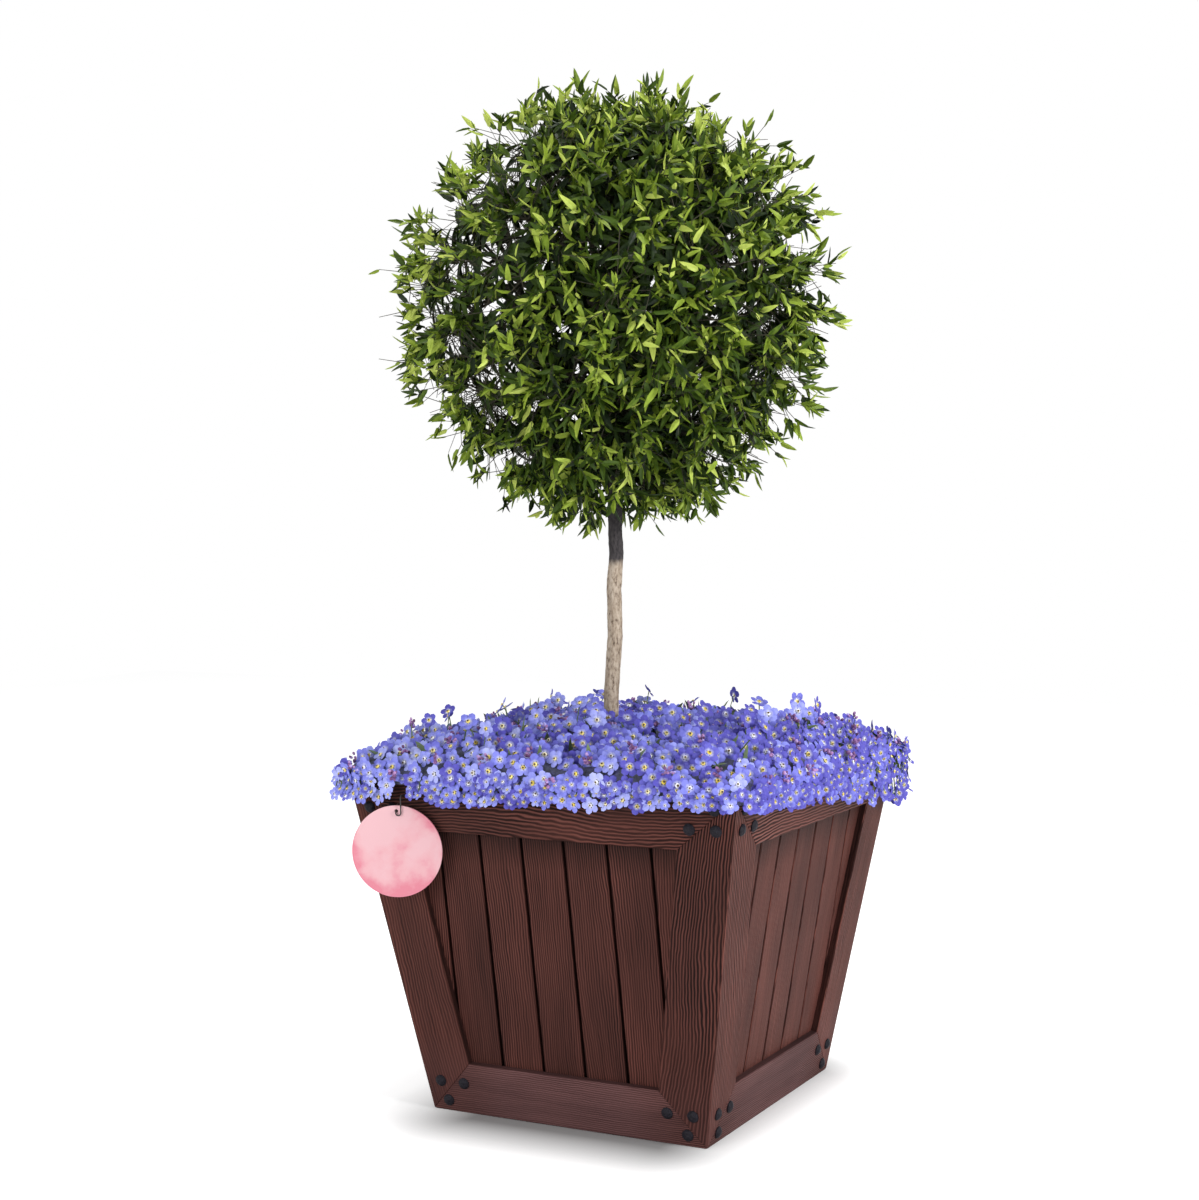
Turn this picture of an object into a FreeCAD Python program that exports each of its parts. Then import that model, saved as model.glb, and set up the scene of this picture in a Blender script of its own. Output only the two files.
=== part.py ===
import FreeCAD
import Part
import math
import os

# Square wooden balcony planter with leaning, framed sides, a lift-out planted liner and a hang tag.
# Millimetres. The origin is the middle of the footprint on the floor, +Z is up and the front faces -Y.

# Overall body, across the outer faces
top_width = 400.0
bottom_width = 288.0
height = 325.0
edge_ease = 1.0

# Mitred picture frame of each side
frame_thickness = 20.0
stile_width = 52.0
rail_width = 50.0
mitre_vee = 0.6

# Tongued boards that lie in the rebate behind each frame
board_recess = 7.0
boards_per_side = 7
board_pitch = 44.0
board_gap = 3.0
board_lap = 10.0
board_fit = 0.5
board_ease = 0.8
tongue_length = 7.0
tongue_thickness = 3.0
tongue_fit = 0.3

# Corner posts, and the battens and ledgers that clamp the boards from inside
post_width = 34.0
batten_drop = 16.0
batten_height = 40.0
batten_thickness = 18.0
ledger_bottom = 12.0
ledger_height = 45.0
ledger_thickness = 25.0
bar_end_gap = 0.2

# Slatted floor
slat_count = 5
slat_thickness = 12.0
slat_gap = 8.0
slat_end_gap = 2.0
bearer_width = 30.0

# Dome-headed stud nails, three at each frame corner, placed from the side's edge and from its end
stud_head_diameter = 11.0
stud_head_height = 3.6
stud_rim_height = 1.0
stud_shank_diameter = 3.2
stud_shank_length = 12.0
stud_point_length = 2.5
stud_fit = 0.2
stud_row_from_end = 30.0
stud_rail_from_edge = 42.0
stud_stile_from_edge = 16.5
stud_low_from_end = 11.0
stud_low_from_edge = 20.0

# Countersunk screws through the posts into the stiles
screw_head_diameter = 8.0
screw_head_height = 3.0
screw_head_rim = 0.4
screw_shank_diameter = 4.0
screw_bite = 12.0
screw_fit = 0.2
screw_rows = 3
screw_from_corner = 14.0
screw_stagger = 18.0
screw_bar_clearance = 20.0

# Moulded liner that hangs by its flange on the battens
liner_wall = 2.5
liner_floor = 3.0
liner_gap = 4.0
liner_lift = 2.0
liner_corner = 20.0
flange_thickness = 3.0
flange_gap = 3.0
flange_corner = 14.0
drain_diameter = 12.0
drain_spacing = 70.0

# Soil
soil_drop = 30.0
soil_gap = 0.3

# Standard tree, a little off the planter's middle
tree_x = -18.5
tree_y = -10.0
crown_x = -14.0
crown_y = -6.5
root_depth = 120.0
trunk_bottom_diameter = 14.5
trunk_top_diameter = 14.0
trunk_straight = 95.0
trunk_collar = 12.0
bark_gap = 0.3
crown_centre = 777.0
crown_radius = 201.0
foliage_depth = 12.0
limb_count = 9
limb_top_tilt_deg = 26.0
limb_low_tilt_deg = 107.0
limb_root_diameter = 9.0
limb_tip_diameter = 3.0
limb_knuckle_diameter = 17.0
limb_seat_gap = 0.3

# Sideways sway of the bare trunk: share of the way up it, and millimetres along X
trunk_bends = ((0.15, 1.3), (0.33, 3.0), (0.6, 0.6), (0.8, 2.4), (0.91, 0.8))

# Mound of flowers over the soil and the rim
bed_overhang = 15.0
bed_droop = 6.0
bed_lip_rise = 10.0
bed_shoulder_inset = 8.0
bed_shoulder_rise = 22.0
bed_brow_inset = 50.0
bed_brow_rise = 38.0
bed_crest_inset = 120.0
bed_crest_rise = 46.0
bed_lip_corner = 16.0
bed_shoulder_corner = 30.0
bed_brow_corner = 60.0
bed_crest_corner = 45.0
bed_gap = 4.0
plug_gap = 1.0

# Hang tag and its wire hook over the front rim
tag_x = -137.0
tag_diameter = 85.0
tag_thickness = 2.0
tag_hole_diameter = 3.2
tag_hole_inset = 5.0
tag_drop = 28.0
tag_standoff = 12.0
tag_yaw = 20.0
tag_seat_gap = 0.3
hook_wire_diameter = 1.3
hook_gap = 0.3
hook_leg = 11.0
hook_drop = 14.0
hook_reach = 5.0
hook_lip = 5.0
hook_bend_radius = 2.2
hook_curl_flat = 0.2

# How far cutting tools run past the faces they cut
overrun = 1.0

# Derived sizes of the leaning sides
half_top = top_width / 2
half_bottom = bottom_width / 2
flare = half_top - half_bottom
slope_length = math.hypot(height, flare)
lean_cos = height / slope_length
lean_sin = flare / slope_length
edge_stretch = math.hypot(1.0, lean_sin)
board_thickness = frame_thickness - board_recess

# Derived levels
post_top = height - batten_drop
batten_bottom = post_top - batten_height
ledger_top = ledger_bottom + ledger_height
floor_top = ledger_top + slat_thickness
liner_bottom = floor_top + liner_lift
liner_top = post_top + flange_thickness
soil_bottom = liner_bottom + liner_floor
soil_top = height - soil_drop
trunk_free_bottom = soil_top + trunk_straight
trunk_free_top = crown_centre - crown_radius - trunk_collar
hook_offset = hook_wire_diameter / 2 + hook_gap
hook_front = tag_thickness / 2 + hook_bend_radius
hook_curl = 2 * hook_bend_radius + hook_curl_flat

# Sides in the order of quarter turns about Z, each with the names of its left and right ends from outside
sides = (
    ("front", "left", "right"),
    ("right", "front", "back"),
    ("back", "right", "left"),
    ("left", "back", "front"),
)
post_names = ("front_right_post", "back_right_post", "back_left_post", "front_left_post")
parts = {}


def side_point(x, s, n):
    """Point of the front side: x along it, s up its outer face, n inwards from that face."""
    y = -half_bottom - s * lean_sin + n * lean_cos
    z = s * lean_cos + n * lean_sin
    return FreeCAD.Vector(x, y, z)


def side_half(s, n=0.0):
    """Half width of a side where it meets its neighbours, s up the face and n behind it."""
    return half_bottom + s * lean_sin - n * lean_cos


def wall_half(z, depth=0.0):
    """Half size, at height z, of the square that lies depth behind the four outer faces."""
    return half_bottom + flare * z / height - depth / lean_cos


def polygon_face(points):
    return Part.Face(Part.makePolygon(points + points[:1]))


def side_prism(outline, near, far):
    """Outline of (x, s) points on the front side, as a solid from depth near to depth far."""
    points = [side_point(x, s, near) for x, s in outline]
    return polygon_face(points).extrude(side_point(0, 0, far) - side_point(0, 0, near))


def stacked_solid(rings):
    """Closed flat-faced solid through rings of points, from the lowest ring to the highest."""
    faces = [polygon_face(rings[0]), polygon_face(rings[-1])]
    for lower, upper in zip(rings, rings[1:]):
        for i in range(len(lower)):
            j = (i + 1) % len(lower)
            faces.append(polygon_face([lower[i], lower[j], upper[j], upper[i]]))
    solid = Part.Solid(Part.Shell(faces))
    if solid.Volume < 0:
        solid.reverse()
    return solid


def square_ring(half, corner, z):
    """Level square with its corners cut off by corner along each edge."""
    inner = half - corner
    points = []
    for turn in range(4):
        spin = FreeCAD.Rotation(FreeCAD.Vector(0, 0, 1), 90.0 * turn)
        ends = ((inner, -half), (half, -inner)) if corner > 0 else ((half, -half),)
        for x, y in ends:
            points.append(spin.multVec(FreeCAD.Vector(x, y, 0)) + FreeCAD.Vector(0, 0, z))
    return points


def square_stack(levels):
    """Tapered square block from (half size, corner cut, height) levels."""
    return stacked_solid([square_ring(*level) for level in levels])


def inset_corner(corner, wall):
    """Corner cut of a square ring that lies wall inside another, parallel to all its edges."""
    return corner - wall * (2 - math.sqrt(2))


def level_slab(bottom, top):
    reach = 2 * top_width
    return Part.makeBox(2 * reach, 2 * reach, top - bottom, FreeCAD.Vector(-reach, -reach, bottom))


def turned(shape, quarter_turns):
    copy = shape.copy()
    copy.rotate(FreeCAD.Vector(0, 0, 0), FreeCAD.Vector(0, 0, 1), 90.0 * quarter_turns)
    return copy


def spun_profile(points, arc_middle=None):
    """Solid of revolution about Z from (radius, height) points; the last two may join by an arc."""
    corners = [FreeCAD.Vector(r, 0, z) for r, z in points]
    edges = [Part.LineSegment(a, b).toShape() for a, b in zip(corners, corners[1:])]
    if arc_middle is not None:
        middle = FreeCAD.Vector(arc_middle[0], 0, arc_middle[1])
        edges[-1] = Part.Arc(corners[-2], middle, corners[-1]).toShape()
    edges.append(Part.LineSegment(corners[-1], corners[0]).toShape())
    face = Part.Face(Part.Wire(edges))
    return face.revolve(FreeCAD.Vector(0, 0, 0), FreeCAD.Vector(0, 0, 1), 360)


def placed(shape, point, direction):
    """Copy of a shape with its +Z turned to a direction and its origin moved to a point."""
    copy = shape.copy()
    copy.Placement = FreeCAD.Placement(point, FreeCAD.Rotation(FreeCAD.Vector(0, 0, 1), direction))
    return copy


outward = side_point(0, 0, 0) - side_point(0, 0, 1)


# Frames


def opening(grow):
    """Corners of the frame's opening, grown on all sides, from bottom left round to top left."""
    low = rail_width - grow
    high = slope_length - rail_width + grow
    inset = (stile_width - grow) * edge_stretch
    low_half = side_half(low) - inset
    high_half = side_half(high) - inset
    return [(-low_half, low), (low_half, low), (high_half, high), (-high_half, high)]


def frame_corners():
    half_low = side_half(0)
    half_high = side_half(slope_length)
    return [(-half_low, 0), (half_low, 0), (half_high, slope_length), (-half_high, slope_length)]


def mitre_ends():
    """Points beyond the frame's outer corners, in line with the mitres."""
    ends = []
    for inner, outer in zip(opening(0), frame_corners()):
        ends.append((2 * outer[0] - inner[0], 2 * outer[1] - inner[1]))
    return ends


def front_block():
    """Quarter of the eased outer body in front of the two diagonal mitre planes."""
    body = square_stack([
        (half_bottom - edge_ease, edge_ease, 0),
        (wall_half(edge_ease), edge_ease, edge_ease),
        (wall_half(height - edge_ease), edge_ease, height - edge_ease),
        (half_top - edge_ease, edge_ease, height),
    ])
    reach = top_width
    wedge = polygon_face([
        FreeCAD.Vector(0, 0, 0),
        FreeCAD.Vector(-reach, -reach, 0),
        FreeCAD.Vector(reach, -reach, 0),
    ]).extrude(FreeCAD.Vector(0, 0, height))
    return body.common(wedge)


def opening_bevel():
    """Tool that eases the front edges of the frame's opening."""
    front = [side_point(x, s, -overrun) for x, s in opening(edge_ease + overrun)]
    back = [side_point(x, s, edge_ease + overrun) for x, s in opening(-overrun)]
    return stacked_solid([front, back])


def mitre_vees():
    """Tools that mark the four mitres with a fine vee."""
    tools = []
    for inner, end in zip(opening(0), mitre_ends()):
        run_x = end[0] - inner[0]
        run_s = end[1] - inner[1]
        run = math.hypot(run_x, run_s)
        across_x = -run_s / run * (mitre_vee + overrun)
        across_s = run_x / run * (mitre_vee + overrun)
        section = [
            side_point(inner[0] + across_x, inner[1] + across_s, -overrun),
            side_point(inner[0] - across_x, inner[1] - across_s, -overrun),
            side_point(inner[0], inner[1], mitre_vee),
        ]
        tools.append(polygon_face(section).extrude(side_point(*end, 0) - side_point(*inner, 0)))
    return tools


def stud_places():
    """(x, s) places of the studs on one side."""
    pattern = (
        (stud_rail_from_edge, stud_row_from_end),
        (stud_stile_from_edge, stud_row_from_end),
        (stud_low_from_edge, stud_low_from_end),
    )
    places = []
    for from_edge, from_end in pattern:
        for s in (from_end, slope_length - from_end):
            x = side_half(s) - from_edge
            places.extend(((-x, s), (x, s)))
    return places


def stud_nail():
    """Nail along Z, with its head's flat underside at the origin."""
    head = stud_head_diameter / 2
    shank = stud_shank_diameter / 2
    dome = stud_head_height - stud_rim_height
    dome_radius = (head * head + dome * dome) / (2 * dome)
    half_angle = math.asin(head / dome_radius) / 2
    middle_height = stud_head_height - dome_radius + dome_radius * math.cos(half_angle)
    return spun_profile([
        (0, -stud_shank_length),
        (shank, stud_point_length - stud_shank_length),
        (shank, 0),
        (head, 0),
        (head, stud_rim_height),
        (0, stud_head_height),
    ], (dome_radius * math.sin(half_angle), middle_height))


def stud_holes():
    radius = stud_shank_diameter / 2 + stud_fit
    depth = stud_shank_length + stud_fit
    drill = Part.makeCylinder(radius, depth + overrun, FreeCAD.Vector(0, 0, -depth))
    return [placed(drill, side_point(x, s, 0), outward) for x, s in stud_places()]


def screw_places():
    """(x, s) places of the screws of one side, staggered between its two ends."""
    low = (ledger_top + screw_bar_clearance) / lean_cos
    high = (batten_bottom - screw_bar_clearance) / lean_cos - screw_stagger
    places = []
    for end in (-1, 1):
        lift = screw_stagger if end > 0 else 0.0
        for row in range(screw_rows):
            s = low + (high - low) * row / max(1, screw_rows - 1) + lift
            places.append((end * (side_half(s, frame_thickness) - screw_from_corner), s))
    return places


def screw_shape(grow, proud):
    """Screw along -Z with its head's top at the origin, or its hole when grown and proud."""
    head = screw_head_diameter / 2 + grow
    shank = screw_shank_diameter / 2 + grow
    length = post_width * lean_cos + screw_bite + grow
    return spun_profile([
        (0, -length),
        (shank, -length),
        (shank, -screw_head_height - grow),
        (head, -screw_head_rim - grow),
        (head, proud),
        (0, proud),
    ])


def screws(shape):
    depth = frame_thickness + post_width * lean_cos
    return [placed(shape, side_point(x, s, depth), -outward) for x, s in screw_places()]


def frame_pieces():
    """The four mitred members of the front frame, by place."""
    bottom_left, bottom_right, top_right, top_left = opening(0)
    end_bl, end_br, end_tr, end_tl = mitre_ends()
    outlines = {
        "bottom_rail": [bottom_left, bottom_right, end_br, end_bl],
        "right_stile": [bottom_right, end_br, end_tr, top_right],
        "top_rail": [top_left, top_right, end_tr, end_tl],
        "left_stile": [bottom_left, end_bl, end_tl, top_left],
    }
    block = front_block()
    tools = [side_prism(opening(board_lap), board_recess, frame_thickness + overrun)]
    tools.append(opening_bevel())
    tools.extend(mitre_vees())
    tools.extend(stud_holes())
    tools.extend(screws(screw_shape(screw_fit, overrun)))
    pieces = {}
    for name, outline in outlines.items():
        pieces[name] = side_prism(outline, 0, frame_thickness).common(block).cut(tools)
    return pieces


def add_frames():
    pieces = frame_pieces()
    for turn, (side, left_end, right_end) in enumerate(sides):
        parts[side + "_bottom_rail"] = turned(pieces["bottom_rail"], turn)
        parts[side + "_top_rail"] = turned(pieces["top_rail"], turn)
        parts[side + "_" + left_end + "_stile"] = turned(pieces["left_stile"], turn)
        parts[side + "_" + right_end + "_stile"] = turned(pieces["right_stile"], turn)


# Boards


def board_solid(left, right, has_groove, has_tongue):
    """Upright board from its section in x and depth, with a tongue on its right and a groove on its left."""
    face = board_recess
    back = frame_thickness
    tongue_front = face + (board_thickness - tongue_thickness) / 2
    tongue_back = tongue_front + tongue_thickness
    groove_depth = tongue_length - board_gap + tongue_fit
    section = [(left + board_ease, face), (right - board_ease, face), (right, face + board_ease)]
    if has_tongue:
        tip = right + tongue_length
        section += [(right, tongue_front), (tip, tongue_front), (tip, tongue_back), (right, tongue_back)]
    section += [(right, back), (left, back)]
    if has_groove:
        heel = left + groove_depth
        section += [(left, tongue_back + tongue_fit), (heel, tongue_back + tongue_fit)]
        section += [(heel, tongue_front - tongue_fit), (left, tongue_front - tongue_fit)]
    section.append((left, face + board_ease))
    points = [side_point(x, 0, n) for x, n in section]
    plank = polygon_face(points).extrude(side_point(0, slope_length, 0) - side_point(0, 0, 0))
    room = side_prism(opening(board_lap - board_fit), 0, frame_thickness + overrun)
    return plank.common(room)


def front_boards():
    """Boards of the front side from left to right; the outermost two are cut to the leaning stiles."""
    reach = opening(board_lap - board_fit)[2][0]
    boards = []
    for i in range(boards_per_side):
        is_first = i == 0
        is_last = i == boards_per_side - 1
        middle = (i - (boards_per_side - 1) / 2) * board_pitch
        half_face = (board_pitch - board_gap) / 2
        left = -reach - overrun if is_first else middle - half_face
        right = reach + overrun if is_last else middle + half_face
        boards.append(board_solid(left, right, not is_first, not is_last))
    return boards


def add_boards():
    boards = front_boards()
    edge_pair = Part.makeCompound([boards[0], boards[-1]])
    for turn, (side, left_end, right_end) in enumerate(sides):
        parts[side + "_edge_boards"] = turned(edge_pair, turn)
        for number, board in enumerate(boards[1:-1], 1):
            parts[side + "_board_" + str(number)] = turned(board, turn)


# Inner carcass and floor


def corner_post():
    """Post in the front right corner, its outer faces against the backs of two frames."""
    corner = wall_half(0, frame_thickness)
    near = corner - post_width
    foot = [(corner, -corner), (corner, -near), (near, -near), (near, -corner)]
    lean = flare * post_top / height
    points = [FreeCAD.Vector(x, y, 0) for x, y in foot]
    return polygon_face(points).extrude(FreeCAD.Vector(lean, -lean, post_top))


def add_posts():
    holes = screws(screw_shape(screw_fit, overrun))
    drilled = corner_post().cut(holes + [turned(hole, 1) for hole in holes])
    for turn, name in enumerate(post_names):
        parts[name] = turned(drilled, turn)


def side_bar(bottom, top, thickness):
    """Level-cut bar on the back of the front side, from post to post."""
    low = (bottom - (frame_thickness + thickness) * lean_sin) / lean_cos - overrun
    high = top / lean_cos + overrun
    inset = post_width + bar_end_gap
    low_half = side_half(low, frame_thickness) - inset
    high_half = side_half(high, frame_thickness) - inset
    outline = [(-low_half, low), (low_half, low), (high_half, high), (-high_half, high)]
    bar = side_prism(outline, frame_thickness, frame_thickness + thickness)
    return bar.common(level_slab(bottom, top))


def add_bars():
    batten = side_bar(batten_bottom, post_top, batten_thickness)
    ledger = side_bar(ledger_bottom, ledger_top, ledger_thickness)
    parts["top_battens"] = Part.makeCompound([turned(batten, turn) for turn in range(4)])
    parts["floor_ledgers"] = Part.makeCompound([turned(ledger, turn) for turn in range(4)])


def add_floor():
    """Slats from front to back on the ledgers, over one bearer that stands on the ground."""
    edge = wall_half(ledger_top, frame_thickness) - slat_end_gap
    post_side = edge - post_width
    width = (2 * edge - (slat_count - 1) * slat_gap) / slat_count
    slats = []
    for i in range(slat_count):
        left = -edge + i * (width + slat_gap)
        beside_post = max(abs(left), abs(left + width)) > post_side
        half_length = post_side if beside_post else edge
        corner = FreeCAD.Vector(left, -half_length, ledger_top)
        slats.append(Part.makeBox(width, 2 * half_length, slat_thickness, corner))
    parts["floor_slats"] = Part.makeCompound(slats)

    depth = frame_thickness + ledger_thickness
    room = square_stack([(wall_half(0, depth), 0, 0), (wall_half(ledger_top, depth), 0, ledger_top)])
    corner = FreeCAD.Vector(-top_width, -bearer_width / 2, 0)
    beam = Part.makeBox(2 * top_width, bearer_width, ledger_top, corner)
    parts["floor_bearer"] = beam.common(room)


def add_fasteners():
    nail = stud_nail()
    front_nails = [placed(nail, side_point(x, s, 0), outward) for x, s in stud_places()]
    front_screws = screws(screw_shape(0.0, 0.0))
    every_turn = range(len(sides))
    parts["stud_nails"] = Part.makeCompound([turned(n, turn) for turn in every_turn for n in front_nails])
    parts["post_screws"] = Part.makeCompound([turned(s, turn) for turn in every_turn for s in front_screws])


# Planted liner


def liner_half(z):
    """Half size of the liner's outer wall, parallel to the sides and clear of the battens."""
    return wall_half(z, frame_thickness + batten_thickness) - liner_gap


def liner_corner_cut():
    """Corner cut that also keeps the liner clear of the posts."""
    past_batten = post_width - batten_thickness / lean_cos - liner_gap
    return max(liner_corner, 2 * past_batten + liner_gap * math.sqrt(2))


def liner_stack(inset, bottom, top):
    corner = inset_corner(liner_corner_cut(), inset)
    return square_stack([(liner_half(z) - inset, corner, z) for z in (bottom, top)])


def root_bore(bottom, top):
    """Tool for the hole round the trunk's straight foot."""
    foot = FreeCAD.Vector(tree_x, tree_y, bottom)
    return Part.makeCylinder(trunk_bottom_diameter / 2 + bark_gap, top - bottom, foot)


def crown_bore():
    """Tool for the hole round the trunk's straight top, from below the crown to its middle."""
    foot = FreeCAD.Vector(crown_x, crown_y, trunk_free_top)
    return Part.makeCylinder(trunk_top_diameter / 2 + bark_gap, crown_centre - trunk_free_top, foot)


def crown_point():
    return FreeCAD.Vector(crown_x, crown_y, crown_centre)


def add_liner():
    shell = liner_stack(0, liner_bottom, liner_top)
    flange_half = wall_half(post_top, frame_thickness) - flange_gap
    flange = square_stack([(flange_half, flange_corner, z) for z in (post_top, liner_top)])
    hollow = liner_stack(liner_wall, soil_bottom, liner_top + overrun)
    drains = []
    for x, y in ((0, 0), (1, 1), (1, -1), (-1, 1), (-1, -1)):
        foot = FreeCAD.Vector(x * drain_spacing, y * drain_spacing, liner_bottom - overrun)
        drains.append(Part.makeCylinder(drain_diameter / 2, liner_floor + 2 * overrun, foot))
    parts["liner"] = shell.fuse(flange).cut([hollow] + drains)


def add_soil():
    block = liner_stack(liner_wall + soil_gap, soil_bottom, soil_top)
    parts["soil"] = block.cut(root_bore(soil_top - root_depth, soil_top + overrun))


def trunk_radius(share):
    """Trunk's radius at a share of the way up its bare stretch."""
    return (trunk_bottom_diameter + (trunk_top_diameter - trunk_bottom_diameter) * share) / 2


def trunk_ring(share, z, sway=0.0):
    """Ring of the trunk on its way from the foot to the crown, moved sideways by its sway."""
    x = tree_x + (crown_x - tree_x) * share + sway
    y = tree_y + (crown_y - tree_y) * share
    return Part.Wire(Part.makeCircle(trunk_radius(share), FreeCAD.Vector(x, y, z)))


def add_trunk():
    """Trunk with a straight foot in the soil, a swaying bare stretch and a straight top in the crown."""
    rings = [trunk_ring(0.0, soil_top - root_depth), trunk_ring(0.0, trunk_free_bottom)]
    for share, sway in trunk_bends:
        z = trunk_free_bottom + share * (trunk_free_top - trunk_free_bottom)
        rings.append(trunk_ring(share, z, sway))
    rings += [trunk_ring(1.0, trunk_free_top), trunk_ring(1.0, crown_centre)]
    parts["tree_trunk"] = Part.makeLoft(rings, True, True)


def add_limbs():
    """Knuckle round the trunk's top with limbs that reach out to the inside of the leaves."""
    centre = crown_point()
    limbs = Part.makeSphere(limb_knuckle_diameter / 2, centre)
    length = crown_radius - foliage_depth - limb_seat_gap
    golden_turn = math.pi * (3 - math.sqrt(5))
    for i in range(limb_count):
        tilt_deg = limb_top_tilt_deg + (limb_low_tilt_deg - limb_top_tilt_deg) * i / (limb_count - 1)
        spread = math.sin(math.radians(tilt_deg))
        rise = math.cos(math.radians(tilt_deg))
        turn = i * golden_turn
        way = FreeCAD.Vector(spread * math.cos(turn), spread * math.sin(turn), rise)
        limb = Part.makeCone(limb_root_diameter / 2, limb_tip_diameter / 2, length, centre, way)
        limbs = limbs.fuse(limb)
    parts["tree_limbs"] = limbs.cut(crown_bore())


def add_crown():
    """Clipped ball of leaves as a shell, open only where the trunk enters it."""
    ball = Part.makeSphere(crown_radius, crown_point())
    hollow = Part.makeSphere(crown_radius - foliage_depth, crown_point())
    parts["tree_crown"] = ball.cut([hollow, crown_bore()])


def add_flower_bed():
    """Mound over the rim with a hanging edge, and the stems' plug down to the soil inside the liner."""
    lip = half_top + bed_overhang
    mound = square_stack([
        (lip, bed_lip_corner, height - bed_droop),
        (lip, bed_lip_corner, height + bed_lip_rise),
        (lip - bed_shoulder_inset, bed_shoulder_corner, height + bed_shoulder_rise),
        (lip - bed_brow_inset, bed_brow_corner, height + bed_brow_rise),
        (lip - bed_crest_inset, bed_crest_corner, height + bed_crest_rise),
    ])
    rim_room = square_stack([
        (half_bottom + bed_gap, 0, 0),
        (half_top + bed_gap, 0, height),
        (half_top + bed_gap, 0, height + bed_gap),
    ])
    plug_inset = liner_wall + plug_gap
    plug_corner = inset_corner(liner_corner_cut(), plug_inset)
    plug_half = liner_half(soil_top) - plug_inset
    plug_top = height + bed_gap + overrun
    plug = square_stack([(plug_half, plug_corner, z) for z in (soil_top, plug_top)])
    bore = root_bore(soil_top - overrun, height + bed_crest_rise + overrun)
    parts["flower_bed"] = mound.cut(rim_room).fuse(plug).cut(bore)


# Hang tag


def tag_hole_centre():
    """Centre of the tag's hole, just under the wire that it hangs on."""
    seat = (tag_hole_diameter - hook_wire_diameter) / 2 - tag_seat_gap
    return FreeCAD.Vector(tag_x, -half_top - tag_standoff, height - tag_drop - seat)


def tag_normal():
    yaw = math.radians(tag_yaw)
    return FreeCAD.Vector(math.sin(yaw), -math.cos(yaw), 0)


def add_tag():
    hole_centre = tag_hole_centre()
    normal = tag_normal()
    back = normal * (-tag_thickness / 2)
    disc_centre = hole_centre - FreeCAD.Vector(0, 0, tag_diameter / 2 - tag_hole_inset)
    disc = Part.makeCylinder(tag_diameter / 2, tag_thickness, disc_centre + back, normal)
    hole = Part.makeCylinder(tag_hole_diameter / 2, 3 * tag_thickness, hole_centre + 3 * back, normal)
    parts["hang_tag"] = disc.cut(hole)


def bent_wire(points, radii, diameter):
    """Round wire along straight runs joined by tangent arcs."""
    edges = []
    start = points[0]
    for before, corner, after, radius in zip(points, points[1:], points[2:], radii):
        back = (before - corner).normalize()
        ahead = (after - corner).normalize()
        half_angle = back.getAngle(ahead) / 2
        tangent = radius / math.tan(half_angle)
        enter = corner + back * tangent
        leave = corner + ahead * tangent
        centre = corner + (back + ahead).normalize() * (radius / math.sin(half_angle))
        middle = centre + (corner - centre).normalize() * radius
        edges.append(Part.LineSegment(start, enter).toShape())
        edges.append(Part.Arc(enter, middle, leave).toShape())
        start = leave
    edges.append(Part.LineSegment(start, points[-1]).toShape())
    path = Part.Wire(edges)
    section = Part.makeCircle(diameter / 2, points[0], points[1] - points[0])
    return path.makePipeShell([Part.Wire(section)], True, False)


def add_hook():
    """Wire over the rim, down in front of the tag, curled back through its hole and up behind it."""
    over = height + hook_offset
    front_level = height - hook_drop
    wire_level = height - tag_drop
    curl_level = wire_level - hook_curl
    inner_bottom = height - hook_leg
    normal = tag_normal()
    seat = tag_hole_centre()
    eye = seat + normal * hook_front
    back = seat - normal * hook_reach
    stem = eye + FreeCAD.Vector(-normal.y, normal.x, 0) * hook_curl
    outer = half_top + hook_offset
    route = [
        (stem.x, hook_offset / lean_cos - wall_half(inner_bottom, frame_thickness), inner_bottom),
        (stem.x, hook_offset / lean_cos - wall_half(over, frame_thickness), over),
        (stem.x, -outer, over),
        (stem.x, -outer, front_level),
        (stem.x, stem.y, front_level),
        (stem.x, stem.y, curl_level),
        (eye.x, eye.y, curl_level),
        (eye.x, eye.y, wire_level),
        (back.x, back.y, wire_level),
        (back.x, back.y, wire_level + hook_lip),
    ]
    points = [FreeCAD.Vector(*place) for place in route]
    rim_bends = [hook_offset, hook_offset]
    curl_bends = [hook_bend_radius] * (len(points) - 2 - len(rim_bends))
    parts["tag_hook"] = bent_wire(points, rim_bends + curl_bends, hook_wire_diameter)


def main():
    add_frames()
    add_boards()
    add_posts()
    add_bars()
    add_floor()
    add_fasteners()
    add_liner()
    add_soil()
    add_trunk()
    add_limbs()
    add_crown()
    add_flower_bed()
    add_tag()
    add_hook()
    os.makedirs("parts", exist_ok=True)
    for name, shape in parts.items():
        shape.exportStep(os.path.join("parts", name + ".step"))
        print(name, len(shape.Solids), "solid(s)", round(shape.Volume / 1000, 1), "cm3", shape.isValid())


main()
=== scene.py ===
# %% [markdown]
# # A planted balcony planter
# A square planter of dark stained timber stands under a clipped standard tree and a bed of blue flowers.
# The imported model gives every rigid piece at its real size. This lesson adds what it leaves plain: the
# brushed grain of the timber, the bark, the leaves, the flowers and the light.

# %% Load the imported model
import math
import random

import bmesh
import bpy
import numpy as np
from mathutils import Matrix, Vector, kdtree, noise


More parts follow.
